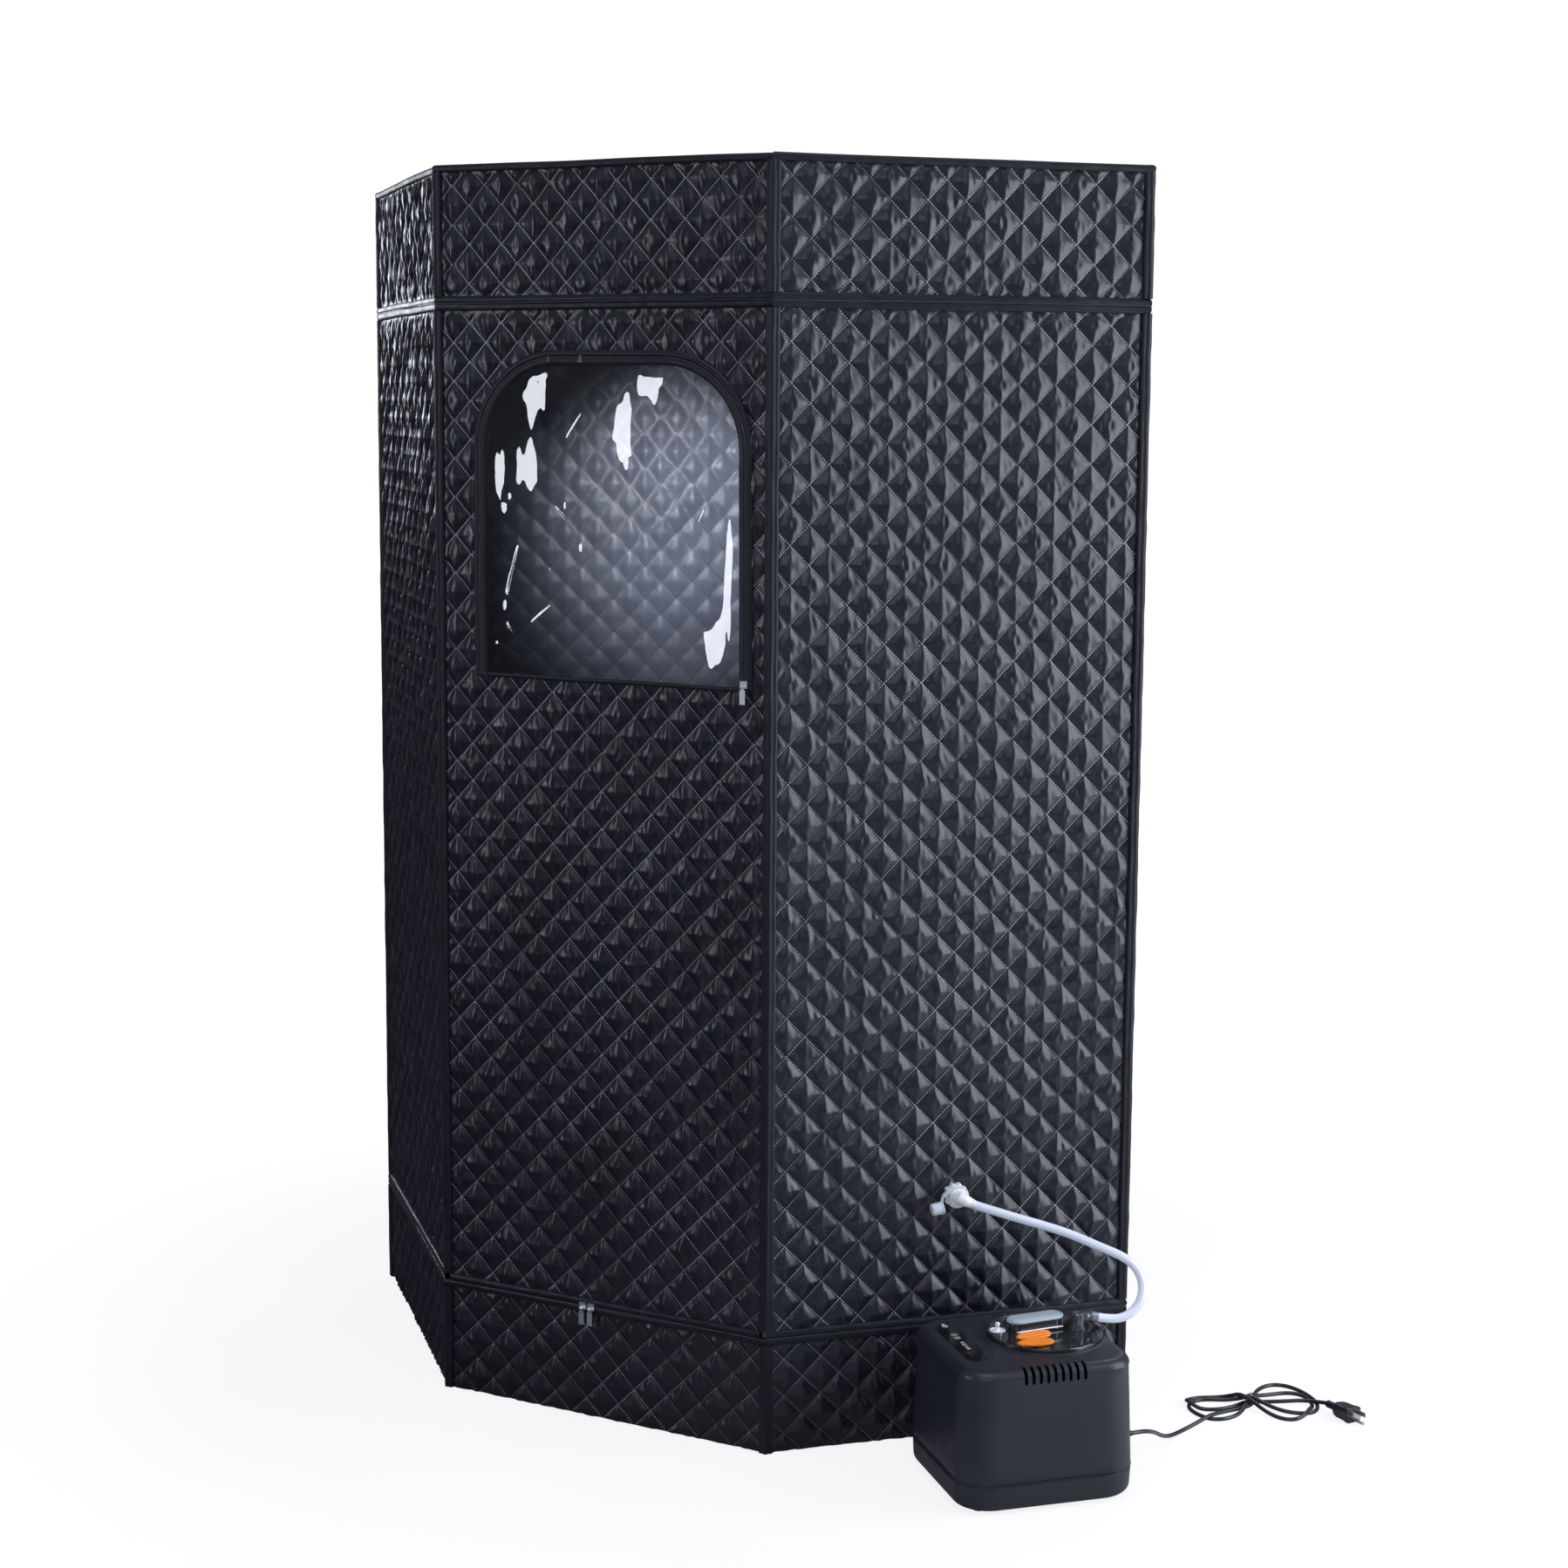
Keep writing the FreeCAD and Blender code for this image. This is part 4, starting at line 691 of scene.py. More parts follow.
def make_bands():
    roof = [band_run("soft_roof_band", side, *ROOF_BAND, FULL_BAND, 300 + n) for n, side in enumerate(WALLS)]
    finish_piece(joined("soft_roof_band", roof), "cabin", "zip_tape", "roof_zip_band")
    base = [band_run("soft_base_band", side, *BASE_BAND, FULL_BAND, 320 + n)
            for n, side in enumerate(WALLS) if side != "front"]
    middle = sum(BASE_BAND) / 2
    base.append(band_run("soft_base_band", "front", BASE_BAND[0], middle - 0.0003, LOW_HALF, 330))
    finish_piece(joined("soft_base_band", base), "cabin", "zip_tape", "base_zip_band")
    inside = (CORNER_GAP, SIDE - CORNER_GAP)
    tape = band_run("soft_door_tape", "front", middle + 0.0003, BASE_BAND[1], HIGH_HALF, 331, inside)
    finish_piece(tape, "door", "zip_tape", "door_zip_tape")
    lines = [teeth_line("soft_zip_lines", side, ROOF_BAND[0] + 0.0105, 0.0021) for side in WALLS]
    lines += [teeth_line("soft_zip_lines", side, BASE_BAND[0] + 0.0105, 0.0021) for side in WALLS if side != "front"]
    finish_piece(joined("soft_zip_lines", lines), "cabin", "zip_tape")
    front = teeth_line("soft_front_zip_line", "front", middle - 0.0011, 0.0022, inside)
    finish_piece(front, "cabin", "zip_tape")


CORNER_PROFILE = [(0.0098, -0.0045), (0.0101, 0.0008), (0.0092, 0.0022), (0.0068, 0.0030), (0.0045, 0.0025),
                  (0.0030, 0.0026), (0.0012, 0.0034)]


def corner_run(side, low, high, seed):
    """The binding that wraps the corner where a side starts: two arms with a fold between them."""
    names = list(WALLS)
    before = names[names.index(side) - 1]
    length = WALLS[before][2]
    up = np.linspace(low, high, max(2, round((high - low) / 0.007) + 1))
    columns = []
    for arm, profile in ((before, CORNER_PROFILE), (side, CORNER_PROFILE[::-1])):
        for reach, out in profile:
            shift = 0.0006 * smooth_noise(up, up * 0 + reach * 40, 0.035, 1, seed)
            bulge = 0.0005 * smooth_noise(up, up * 0 + reach * 90, 0.012, 1, seed + 1) * (out > 0.001)
            along = length - reach - shift if arm == before else reach + shift
            columns.append(place_array(arm, along + 0 * up, -(out + bulge), up))
        if arm == before:
            columns.append(run_points(side, 0 * up, 0.0037 + 0.0004 * smooth_noise(up, up * 0, 0.02, 1, seed + 2), up))
    return skin("soft_corner", np.stack(columns, axis=1), BINDING)


def make_bindings():
    runs = ((0.001, BASE_BAND[0]), (BASE_BAND[1], ROOF_BAND[0]), (ROOF_BAND[1], EDGE_LOW + 0.001))
    strips = [corner_run(side, low, high, 400 + 10 * n + m)
              for n, side in enumerate(WALLS) for m, (low, high) in enumerate(runs)]
    finish_piece(joined("soft_corner_bindings", strips), "cabin", "binding", "corner_bindings")
    edge = [(-0.3, 0.0006), (-0.28, 0.0018), (0.0, 0.0028), (0.35, 0.0034), (0.7, 0.0030), (0.95, 0.0012),
            (1.06, -0.0015), (1.08, -0.0045), (0.98, -0.0075), (0.75, -0.0088)]
    rolls = [band_run("soft_roof_edge", side, EDGE_LOW, HEIGHT, edge, 450 + n, material=BINDING)
             for n, side in enumerate(WALLS)]
    finish_piece(joined("soft_roof_edge", rolls), "cabin", "binding", "roof_edge_binding")


# ---------------------------------------------------------------- window

def window_outline(spacing, low):
    """Stations round the window from its bottom left over the top: points and outward directions."""
    straight = WINDOW_LOW + WINDOW_TALL - WINDOW_ROUND
    flat = WINDOW_HALF - WINDOW_ROUND
    stations = [(WINDOW_MID - WINDOW_HALF, z, -1.0, 0.0) for z in np.arange(low, straight, spacing)]
    stations += [(WINDOW_MID - flat - WINDOW_ROUND * math.cos(t), straight + WINDOW_ROUND * math.sin(t),
                  -math.cos(t), math.sin(t)) for t in np.linspace(0, math.pi / 2, 30)]
    top = WINDOW_LOW + WINDOW_TALL
    stations += [(x, top, 0.0, 1.0) for x in np.arange(WINDOW_MID - flat + spacing, WINDOW_MID + flat, spacing)]
    stations += [(WINDOW_MID + flat + WINDOW_ROUND * math.sin(t), straight + WINDOW_ROUND * math.cos(t),
                  math.sin(t), math.cos(t)) for t in np.linspace(0, math.pi / 2, 30)]
    stations += [(WINDOW_MID + WINDOW_HALF, z, 1.0, 0.0) for z in np.arange(straight - spacing, low - 0.001, -spacing)]
    return np.array(stations)


def outline_strip(name, profile, material, seed, closed=False, low=WINDOW_LOW - 0.004):
    """A strip sewn round the window: profile rows are (distance from the opening, distance out)."""
    stations = window_outline(0.005, low)
    path = np.concatenate([[0], np.cumsum(np.hypot(*np.diff(stations[:, :2], axis=0).T))])
    offset, out = (np.array(column)[None, :] for column in zip(*profile))
    ripple = 0.0004 * smooth_noise(path[:, None], offset * 60, 0.011, 1, seed)
    sway = 0.0010 * smooth_noise(path[:, None], offset * 0, 0.13, 1, seed + 1)
    across = stations[:, 0:1] + stations[:, 2:3] * (offset + sway)
    up = stations[:, 1:2] + stations[:, 3:4] * (offset + sway)
    return skin(name, place_array("front", across, -(out + ripple), up), material, join_columns=closed)


def make_window():
    frame_profile = [(-0.0015, -0.0005), (-0.0015, 0.0016), (0.0015, 0.0024), (0.0050, 0.0030), (0.0078, 0.0026),
                     (0.0084, 0.0014), (0.0096, 0.0014), (0.0102, 0.0030), (0.0140, 0.0036), (0.0172, 0.0028),
                     (0.0190, 0.0014), (0.0192, -0.0012)]
    strip = outline_strip("soft_window_frame", frame_profile, BINDING, 500)
    finish_piece(strip, "door", "binding", "window_frame")
    coil = [(0.0090 + 0.0009 * math.cos(t), 0.0020 + 0.0009 * math.sin(t))
            for t in np.linspace(0, 2 * math.pi, 7)[:-1]]
    finish_piece(outline_strip("soft_window_zip_line", coil, COIL, 500, closed=True), "door", "zip_tape")

    across, share = np.meshgrid(np.linspace(-1, 1, 290), np.linspace(0, 1, 300))
    up = WINDOW_LOW - 0.002 + (WINDOW_TALL + 0.0015) * share
    over = np.maximum(up - (WINDOW_LOW + WINDOW_TALL - WINDOW_ROUND), 0)
    half = WINDOW_HALF - WINDOW_ROUND + np.sqrt(np.maximum(WINDOW_ROUND ** 2 - over ** 2, 1e-8)) - 0.0003
    along = WINDOW_MID + across * half
    rim = np.clip(-outside_window(along, up, 0), 0, 1)
    out = 0.0009 + film_height(along, up) * ease(rim / 0.02)
    pane = skin("soft_window_pane", place_array("front", along, -out, up), CLEAR_FILM)
    finish_piece(pane, "window_flap", "clear_film", "window_pane")

    along = np.linspace(WINDOW_MID - WINDOW_HALF - 0.018, WINDOW_MID + WINDOW_HALF + 0.002, 90)[:, None]
    rise = np.array([-0.0055, -0.0052, -0.002, 0.0008, 0.0012])[None, :]
    stand = np.array([-0.0005, 0.0010, 0.0018, 0.0014, 0.0002])[None, :]
    up = WINDOW_LOW + rise + 0.0006 * smooth_noise(along, rise * 0, 0.05, 1, 511)
    hem = skin("soft_window_hem", place_array("front", along + 0 * rise, -(stand + 0 * along), up), BINDING)
    finish_piece(hem, "door", "binding")


CREASES = [((0.10, 1.13), (0.15, 1.10)), ((0.16, 1.16), (0.20, 1.19)), ((0.20, 1.12), (0.27, 1.135)),
           ((0.24, 1.20), (0.19, 1.24)), ((0.30, 1.12), (0.36, 1.10)), ((0.12, 1.20), (0.14, 1.27)),
           ((0.33, 1.20), (0.40, 1.23)), ((0.43, 1.30), (0.46, 1.36)), ((0.36, 1.40), (0.42, 1.42)),
           ((0.20, 1.33), (0.24, 1.29)), ((0.27, 1.16), (0.33, 1.155)), ((0.38, 1.14), (0.44, 1.17)),
           ((0.14, 1.12), (0.12, 1.16)), ((0.22, 1.42), (0.25, 1.46))]


# the film's broad dents: share of the window across and up, half size across and up, and height in millimetres
DENTS = [(0.265, 0.90, 24, 30, 2.6), (0.235, 0.67, 18, 26, 1.9), (0.61, 0.78, 21, 38, 3.4),
         (0.740, 0.925, 29, 43, 6.2), (0.955, 0.90, 9, 12, 1.8), (0.885, 0.68, 6, 10, 1.1), (0.89, 0.78, 7, 12, 1.3),
         (0.34, 0.55, 6, 14, 0.75), (0.40, 0.42, 6, 9, 0.75), (0.73, 0.78, 5, 10, 0.9), (0.70, 0.16, 6, 12, 0.9),
         (0.925, 0.42, 13, 75, -2.5), (0.82, 0.16, 28, 40, -6.3),
         (0.02, 0.66, 16, 30, -1.2)]


def film_height(along, up):
    """Dents and sharp creases of clear film that was packed folded."""
    height = 0.0009 * smooth_noise(along, up, 0.085, 0.150, 541) + 0.00042 * smooth_noise(along, up, 0.034, 0.060, 542)
    height += 0.00009 * smooth_noise(along, up, 0.012, 0.020, 543) + 0.0003
    for across_share, up_share, half_across, half_up, rise in DENTS:
        across = along - (WINDOW_MID - WINDOW_HALF + 2 * WINDOW_HALF * across_share)
        over = up - (WINDOW_LOW + WINDOW_TALL * up_share)
        height += rise / 1000 * np.exp(-(across * 1000 / half_across) ** 2 / 2 - (over * 1000 / half_up) ** 2 / 2)
    for (x0, z0), (x1, z1) in CREASES:
        run = np.array([x1 - x0, z1 - z0])
        share = np.clip(((along - x0) * run[0] + (up - z0) * run[1]) / (run @ run), 0, 1)
        gap = np.hypot(along - x0 - share * run[0], up - z0 - share * run[1])
        height += 0.0006 * np.exp(-(gap / 0.0025) ** 2) * np.sqrt(np.sin(math.pi * share) + 1e-6)
    return height


# ---------------------------------------------------------------- hose and power cord

def curve_object(name, points, radius, material, resolution=12, closed=False):
    """One NURBS tube with the given control points."""
    data = bpy.data.curves.new(name, "CURVE")
    data.dimensions = "3D"
    data.bevel_depth = radius
    data.bevel_resolution = 6
    data.use_fill_caps = not closed
    data.resolution_u = resolution
    spline = data.splines.new("NURBS")
    spline.points.add(len(points) - 1)
    for target, point in zip(spline.points, points):
        target.co = (*point, 1)
    spline.order_u = 3
    spline.use_cyclic_u = closed
    spline.use_endpoint_u = not closed
    data.materials.append(material)
    return add_object(name, data)


# route points of part.py, in metres
HOSE_ROUTE = [
    (0.332, 0.055, 0.340), (0.372, 0.077, 0.330), (0.412, 0.101, 0.3195), (0.449, 0.124, 0.304),
    (0.483, 0.142, 0.290), (0.499, 0.1515, 0.2725), (0.503, 0.159, 0.250), (0.495, 0.164, 0.228),
    (0.4755, 0.166, 0.213), (0.451, 0.163, 0.210),
]
HOSE_FIRST = Vector((0.88, -0.28, -0.38)).normalized() * 0.024
PORT_ALONG, PORT_UP, ELBOW_OUT = 0.278, 0.358, 0.027
CASE_ALONG, CASE_OUT = 0.3175, 0.1705
CASE_LONG, CASE_WIDE = 0.255, 0.245
OUTLET = (0.107, 0.010, 0.217)
GLAND_V, GLAND_UP = -0.045, 0.063
CORD_ROUTE = [
    (1.035, 0.192, 0.062), (1.037, 0.222, 0.052), (1.032, 0.257, 0.037), (1.028, 0.292, 0.020),
    (1.027, 0.326, 0.007), (1.031, 0.358, 0.003), (1.043, 0.391, 0.003),
]
CORD_RADIUS, HOSE_RADIUS = 0.003, 0.00625
CORD_LENGTH, HOSE_LENGTH, BOOT_LONG = 1.62, 0.37, 0.018
HANK_AT = Vector((1.080, 0.519, 0))
HANK_TURN = 28
# each loop of the hank: reach from the tie, half width, heading, and which side it starts on
HANK_LOOPS = [(0.104, 0.067, 15, 1), (0.098, 0.045, 205, -1), (0.098, 0.062, -12, 1), (0.095, 0.027, 185, -1)]
LEAD_OUT = [(0.1098, -0.011, 0.0084), (0.114, -0.022, 0.0114)]
PLUG_HEADING = -58
STACK = 2.06 * CORD_RADIUS


def case_point(u, v, up):
    return wall_point("right", CASE_ALONG + u, v - CASE_OUT, up)


def case_array(u, v, up):
    u, v, up = np.broadcast_arrays(u, v, up)
    return place_array("right", CASE_ALONG + u, v - CASE_OUT, up)


def hank_point(x, y, z):
    run = direction(HANK_TURN)
    return DOOR_CORNER + HANK_AT + run * x + UP.cross(run) * y + UP * z


def make_hose():
    start = wall_point("right", PORT_ALONG + HOSE_FIRST.x, HOSE_FIRST.y - ELBOW_OUT, PORT_UP + HOSE_FIRST.z)
    points = [start] + [wall_point("right", a, -out, up) for a, out, up in HOSE_ROUTE] + [case_point(*OUTLET)]
    hose = curve_object("soft_hose", points, HOSE_RADIUS, SILICONE_PAINTED_GLOW)
    finish_piece(hose, "cabin", "silicone", "steam_hose")


def hank_turns():
    """The hank's loops in order, then the lead: strands one way lie below those that cross them at the tie."""
    count, points = 20, []
    lanes = [(0.0062, 0), (0.0031, 1), (0.0, 0), (-0.0031, 1), (-0.0062, 0)]
    for number, (reach, half, heading, way) in enumerate(HANK_LOOPS):
        lane, layer = lanes[number]
        points.append((lane * 0.8, -lane * 0.6, CORD_RADIUS + layer * STACK))
        turn = math.radians(heading)
        for step in range(2, count - 1):
            angle = 2 * math.pi * step / count
            x = reach * (1 - math.cos(angle)) / 2
            y = way * half / 0.77 * math.sin(angle) * math.sin(angle / 2)
            points.append((x * math.cos(turn) - y * math.sin(turn), x * math.sin(turn) + y * math.cos(turn),
                           CORD_RADIUS + 0.0002 * number))
    points.append((lanes[4][0] * 0.8, -lanes[4][0] * 0.6, CORD_RADIUS))
    return points + [(0.028, 0.006, CORD_RADIUS), (0.055, 0.008, CORD_RADIUS), (0.082, 0.004, 0.0060)]


def spline_weights(count, per_run):
    """Shares of the control points in samples of a quadratic spline with its ends clamped."""
    knots = np.concatenate([[0, 0], np.arange(count - 1), [count - 2, count - 2]]).astype(float)
    where = np.linspace(0, count - 2 - 1e-9, (count - 2) * per_run)
    table = np.zeros((len(where), count))
    for row, t in enumerate(where):
        k = int(t) + 2
        a = (knots[k + 1] - t) / (knots[k + 1] - knots[k])
        left = (knots[k + 1] - t) / (knots[k + 1] - knots[k - 1])
        right = (knots[k + 2] - t) / (knots[k + 2] - knots[k])
        table[row, k - 2] = left * a
        table[row, k - 1] = (1 - left) * a + right * (1 - a)
        table[row, k] = (1 - right) * (1 - a)
    return table


def settle_cord(points, first, last):
    """Lets the hank's strands push each other apart and sink to the floor; the ends outside first..last stay."""
    points = np.array(points, dtype=float)
    weights = spline_weights(len(points), 5)
    free = np.zeros((len(points), 1))
    free[first:last] = 1
    share = weights / np.maximum(weights.sum(axis=0), 1e-9)
    order = np.arange(len(weights))
    apart = np.abs(order[:, None] - order[None, :]) > 12
    clear = 2.12 * CORD_RADIUS
    for _ in range(160):
        line = weights @ points
        gap = line[:, None, :] - line[None, :, :]
        far = np.sqrt((gap ** 2).sum(axis=-1)) + 1e-9
        close = apart & (far < clear)
        push = (gap / far[..., None] * ((clear - far) * close)[..., None] * np.array([0.25, 0.25, 1.0])).sum(axis=1)
        step = 1.6 * share.T @ push
        bend = np.zeros_like(points)
        bend[1:-1] = 0.5 * (points[:-2] + points[2:]) - points[1:-1]
        sink = np.zeros_like(points)
        sink[:, 2] = -0.00010
        points += free * (step + bend * np.array([0.01, 0.01, 0.12]) + sink)
        points[:, 2] = np.maximum(points[:, 2], CORD_RADIUS)
    line = weights @ points
    far = np.sqrt(((line[:, None, :] - line[None, :, :]) ** 2).sum(axis=-1)) + ~apart
    print("cord length", round(float(np.linalg.norm(np.diff(line, axis=0), axis=1).sum()), 4),
          "least strand distance", round(float(far.min()), 5), "highest", round(float(line[first * 5:, 2].max()), 4))
    return points


def make_cord():
    start = case_point(CASE_LONG / 2 + 0.020, GLAND_V, GLAND_UP)
    route = [DOOR_CORNER + Vector(point) for point in CORD_ROUTE]
    over_loops = [hank_point(-0.066, -0.066, 0.0035), hank_point(-0.044, -0.044, 0.0040),
                  hank_point(-0.020, -0.024, CORD_RADIUS)]
    turns = [hank_point(*point) for point in hank_turns()]
    lead = [hank_point(*point) for point in LEAD_OUT]
    points = [start] + route + over_loops + turns + lead
    settled = settle_cord(points, len(route), len(points) - 3)
    cable = curve_object("soft_power_cord", [Vector(p) for p in settled], CORD_RADIUS, CABLE)
    finish_piece(cable, "cabin", "cable", "power_cord", "cord_hank", "plug_lead")
    tie_path = [hank_point(0.0006, y, z) for y, z in ((-0.0125, 0.001), (-0.0135, 0.006), (-0.009, 0.0125),
                (0.0, 0.0135), (0.009, 0.0125), (0.0135, 0.006), (0.0125, 0.001), (0.0, 0.0006))]
    ties = [curve_object("soft_tie", [p + direction(HANK_TURN) * shift for p in tie_path], 0.0011, TIE, closed=True)
            for shift in (-0.0016, 0.0016)]
    twist = [hank_point(0, 0.004, 0.0135), hank_point(0.004, 0.007, 0.0142), hank_point(0.009, 0.013, 0.0125),
             hank_point(0.014, 0.016, 0.0105)]
    ties.append(curve_object("soft_tie_end", twist, 0.0012, TIE))
    bands = [solid_from(item) for item in ties]
    tie = finish_piece(joined("soft_tie", bands), "cabin", "tie", "cord_tie")
    plug = make_plug()


def solid_from(item):
    """A mesh object in place of a curve or of a mesh with modifiers."""
    graph = bpy.context.evaluated_depsgraph_get()
    mesh = bpy.data.meshes.new_from_object(item.evaluated_get(graph))
    fresh = add_object(item.name + "_mesh", mesh)
    fresh.matrix_world = item.matrix_world
    bpy.data.objects.remove(item)
    return fresh


def make_plug():
    """Moulded plug: a ribbed strain relief that follows the lead, swelling to a flat-sided grip."""
    run = direction(HANK_TURN + PLUG_HEADING)
    across = UP.cross(run)
    start = hank_point(*LEAD_OUT[1])
    coming = (start - hank_point(*LEAD_OUT[0])).normalized()
    lean = coming.dot(across) / coming.dot(run)
    stations = [(0.0, 0.0034, 0.0034, 2.0)]
    for rib in range(4):
        at = 0.0012 + 0.0042 * rib
        stations += [(at, 0.0037, 0.0037, 2.0), (at + 0.0004, 0.0055, 0.0055, 2.0), (at + 0.0022, 0.0055, 0.0055, 2.0),
                     (at + 0.0026, 0.0037, 0.0037, 2.0)]
    stations += [(0.0178, 0.0062, 0.0062, 2.0), (0.0200, 0.0092, 0.0086, 2.6), (0.0245, 0.0115, 0.0100, 3.4),
                 (0.0300, 0.0124, 0.0104, 4.4), (0.0390, 0.0125, 0.0103, 5.0), (0.0470, 0.0128, 0.0107, 5.0),
                 (0.0495, 0.0133, 0.0112, 5.5), (0.0545, 0.0135, 0.0113, 6.0), (0.0558, 0.0131, 0.0109, 6.0),
                 (0.0560, 0.0120, 0.0099, 6.0)]
    rows = []
    for at, half_wide, half_tall, power in stations:
        share = min(at / BOOT_LONG, 1)
        middle = start + run * at + across * (lean * at * (1 - share) ** 2)
        ring = []
        for t in np.linspace(0, 2 * math.pi, 48, endpoint=False):
            c, s = math.cos(t), math.sin(t)
            y = half_wide * math.copysign(abs(c) ** (2 / power), c)
            z = half_tall * math.copysign(abs(s) ** (2 / power), s)
            ring.append(middle + across * y + UP * z)
        rows.append(ring)
    plug = skin("soft_plug", rows, CABLE, join_columns=True, caps=True, sharp=50)
    return finish_piece(plug, "cabin", "cable", "plug_body")


# ---------------------------------------------------------------- steam generator

def case_ring(half_u, half_v, corner, up, per_corner=14, per_side=26):
    """Points round a rectangle with round corners, always in the same order."""
    ring = []
    corners = [(half_u, -half_v, -90), (half_u, half_v, 0), (-half_u, half_v, 90), (-half_u, -half_v, 180)]
    for number, (u, v, start) in enumerate(corners):
        centre_u = u - math.copysign(corner, u)
        centre_v = v - math.copysign(corner, v)
        for t in np.linspace(start, start + 90, per_corner):
            ring.append((centre_u + corner * math.cos(math.radians(t)), centre_v + corner * math.sin(math.radians(t))))
        after, end = corners[(number + 1) % 4], math.radians(start + 90)
        first = ring[-1]
        last = (after[0] - math.copysign(corner, after[0]) + corner * math.cos(end),
                after[1] - math.copysign(corner, after[1]) + corner * math.sin(end))
        for share in np.linspace(0, 1, per_side + 2)[1:-1]:
            ring.append((first[0] + (last[0] - first[0]) * share, first[1] + (last[1] - first[1]) * share))
    u, v = np.array(ring).T
    return np.stack([u, v, np.full_like(u, up)], axis=-1)


def circle_ring(like, centre_u, centre_v, radius, up):
    """A circle whose points face those of another ring."""
    angle = np.arctan2(like[:, 1] - centre_v, like[:, 0] - centre_u)
    return np.stack([centre_u + radius * np.cos(angle), centre_v + radius * np.sin(angle), np.full(len(like), up)],
                    axis=-1)


LID_U, LID_V = 0.038, 0.012
CASE_TOP = 0.197
RIM_RADIUS = 0.0822
VENTS = [0.002 + 0.01065 * (n - 4) for n in range(9)]


def outside_rim(ring):
    """Moves a ring's points that lie under the lid's rim out to that rim."""
    u, v = ring[:, 0] - LID_U, ring[:, 1] - LID_V
    away = np.maximum(np.hypot(u, v), RIM_RADIUS + 0.0002) / np.hypot(u, v)
    return np.stack([LID_U + u * away, LID_V + v * away, ring[:, 2]], axis=-1)


def case_rows(rows):
    return [case_array(ring[:, 0], ring[:, 1], ring[:, 2]) for ring in rows]


def make_case():
    half_u, half_v, round_, edge = CASE_LONG / 2 + 0.0010, CASE_WIDE / 2, 0.048, 0.0135
    rows = [case_ring(half_u - 0.0016, half_v - 0.0016, round_, 0.0420),
            case_ring(half_u - 0.0016, half_v - 0.0016, round_, 0.0398),
            case_ring(half_u - 0.0004, half_v - 0.0004, round_, 0.0398),
            case_ring(half_u - 0.0001, half_v - 0.0001, round_, 0.0402)]
    shrink = 0.0045
    for share in np.linspace(0.1, 1, 12):
        rows.append(case_ring(half_u - shrink * share, half_v - shrink * share, round_,
                              0.041 + (CASE_TOP - edge - 0.041) * share))
    for t in np.linspace(0, 90, 13)[1:]:
        inset = shrink + edge * (1 - math.cos(math.radians(t)))
        rows.append(case_ring(half_u - inset, half_v - inset, max(round_ - inset * 0.8, 0.02),
                              CASE_TOP - edge + edge * math.sin(math.radians(t))))
    rows = [outside_rim(ring) for ring in rows]
    deck = rows[-1]
    rim = circle_ring(deck, LID_U, LID_V, RIM_RADIUS, CASE_TOP)
    rows += [(1 - share) * deck + share * rim for share in (0.25, 0.5, 0.75)]
    rows += [rim, circle_ring(rim, LID_U, LID_V, 0.0816, CASE_TOP + 0.0005), circle_ring(rim, LID_U, LID_V, 0.0808,
             CASE_TOP + 0.0005), circle_ring(rim, LID_U, LID_V, 0.0801, CASE_TOP - 0.0006),
             circle_ring(rim, LID_U, LID_V, 0.0788, CASE_TOP - 0.0030),
             circle_ring(rim, LID_U, LID_V, 0.0783, CASE_TOP - 0.0120)]
    shell = skin("steamer_shell", case_rows(rows), HOUSING, join_columns=True)
    thick = shell.modifiers.new("wall", "SOLIDIFY")
    thick.thickness, thick.offset = 0.0026, -1
    cutter = slot_cutter()
    holes = shell.modifiers.new("vents", "BOOLEAN")
    holes.object, holes.operation, holes.solver = cutter, "DIFFERENCE", "EXACT"
    shell = solid_from(shell)
    bpy.data.objects.remove(cutter)
    shell.name = "steamer_shell"
    shell.data.set_sharp_from_angle(angle=math.radians(40))
    finish_piece(shell, "cabin", "housing", "steamer_housing")

    low, soft = 0.0032, 0.013
    rows = [circle_ring(case_ring(half_u, half_v, round_, 0), 0, 0, 0.01, low)]
    for t in np.linspace(0, 90, 12):
        inset = soft * (1 - math.sin(math.radians(t)))
        rows.append(case_ring(half_u - 0.001 - inset, half_v - 0.001 - inset, max(round_ - 0.7 * inset, 0.02),
                              low + soft * (1 - math.cos(math.radians(t)))))
    rows += [case_ring(half_u - 0.0003, half_v - 0.0003, round_, 0.0330),
             case_ring(half_u - 0.0001, half_v - 0.0001, round_, 0.0390),
             case_ring(half_u - 0.0004, half_v - 0.0004, round_, 0.0394),
             case_ring(half_u - 0.0022, half_v - 0.0022, round_, 0.0394),
             case_ring(half_u - 0.0022, half_v - 0.0022, round_, 0.0430)]
    tray = skin("steamer_tray", case_rows(rows), HOUSING, join_columns=True, sharp=40)
    finish_piece(tray, "cabin", "housing", "steamer_base")


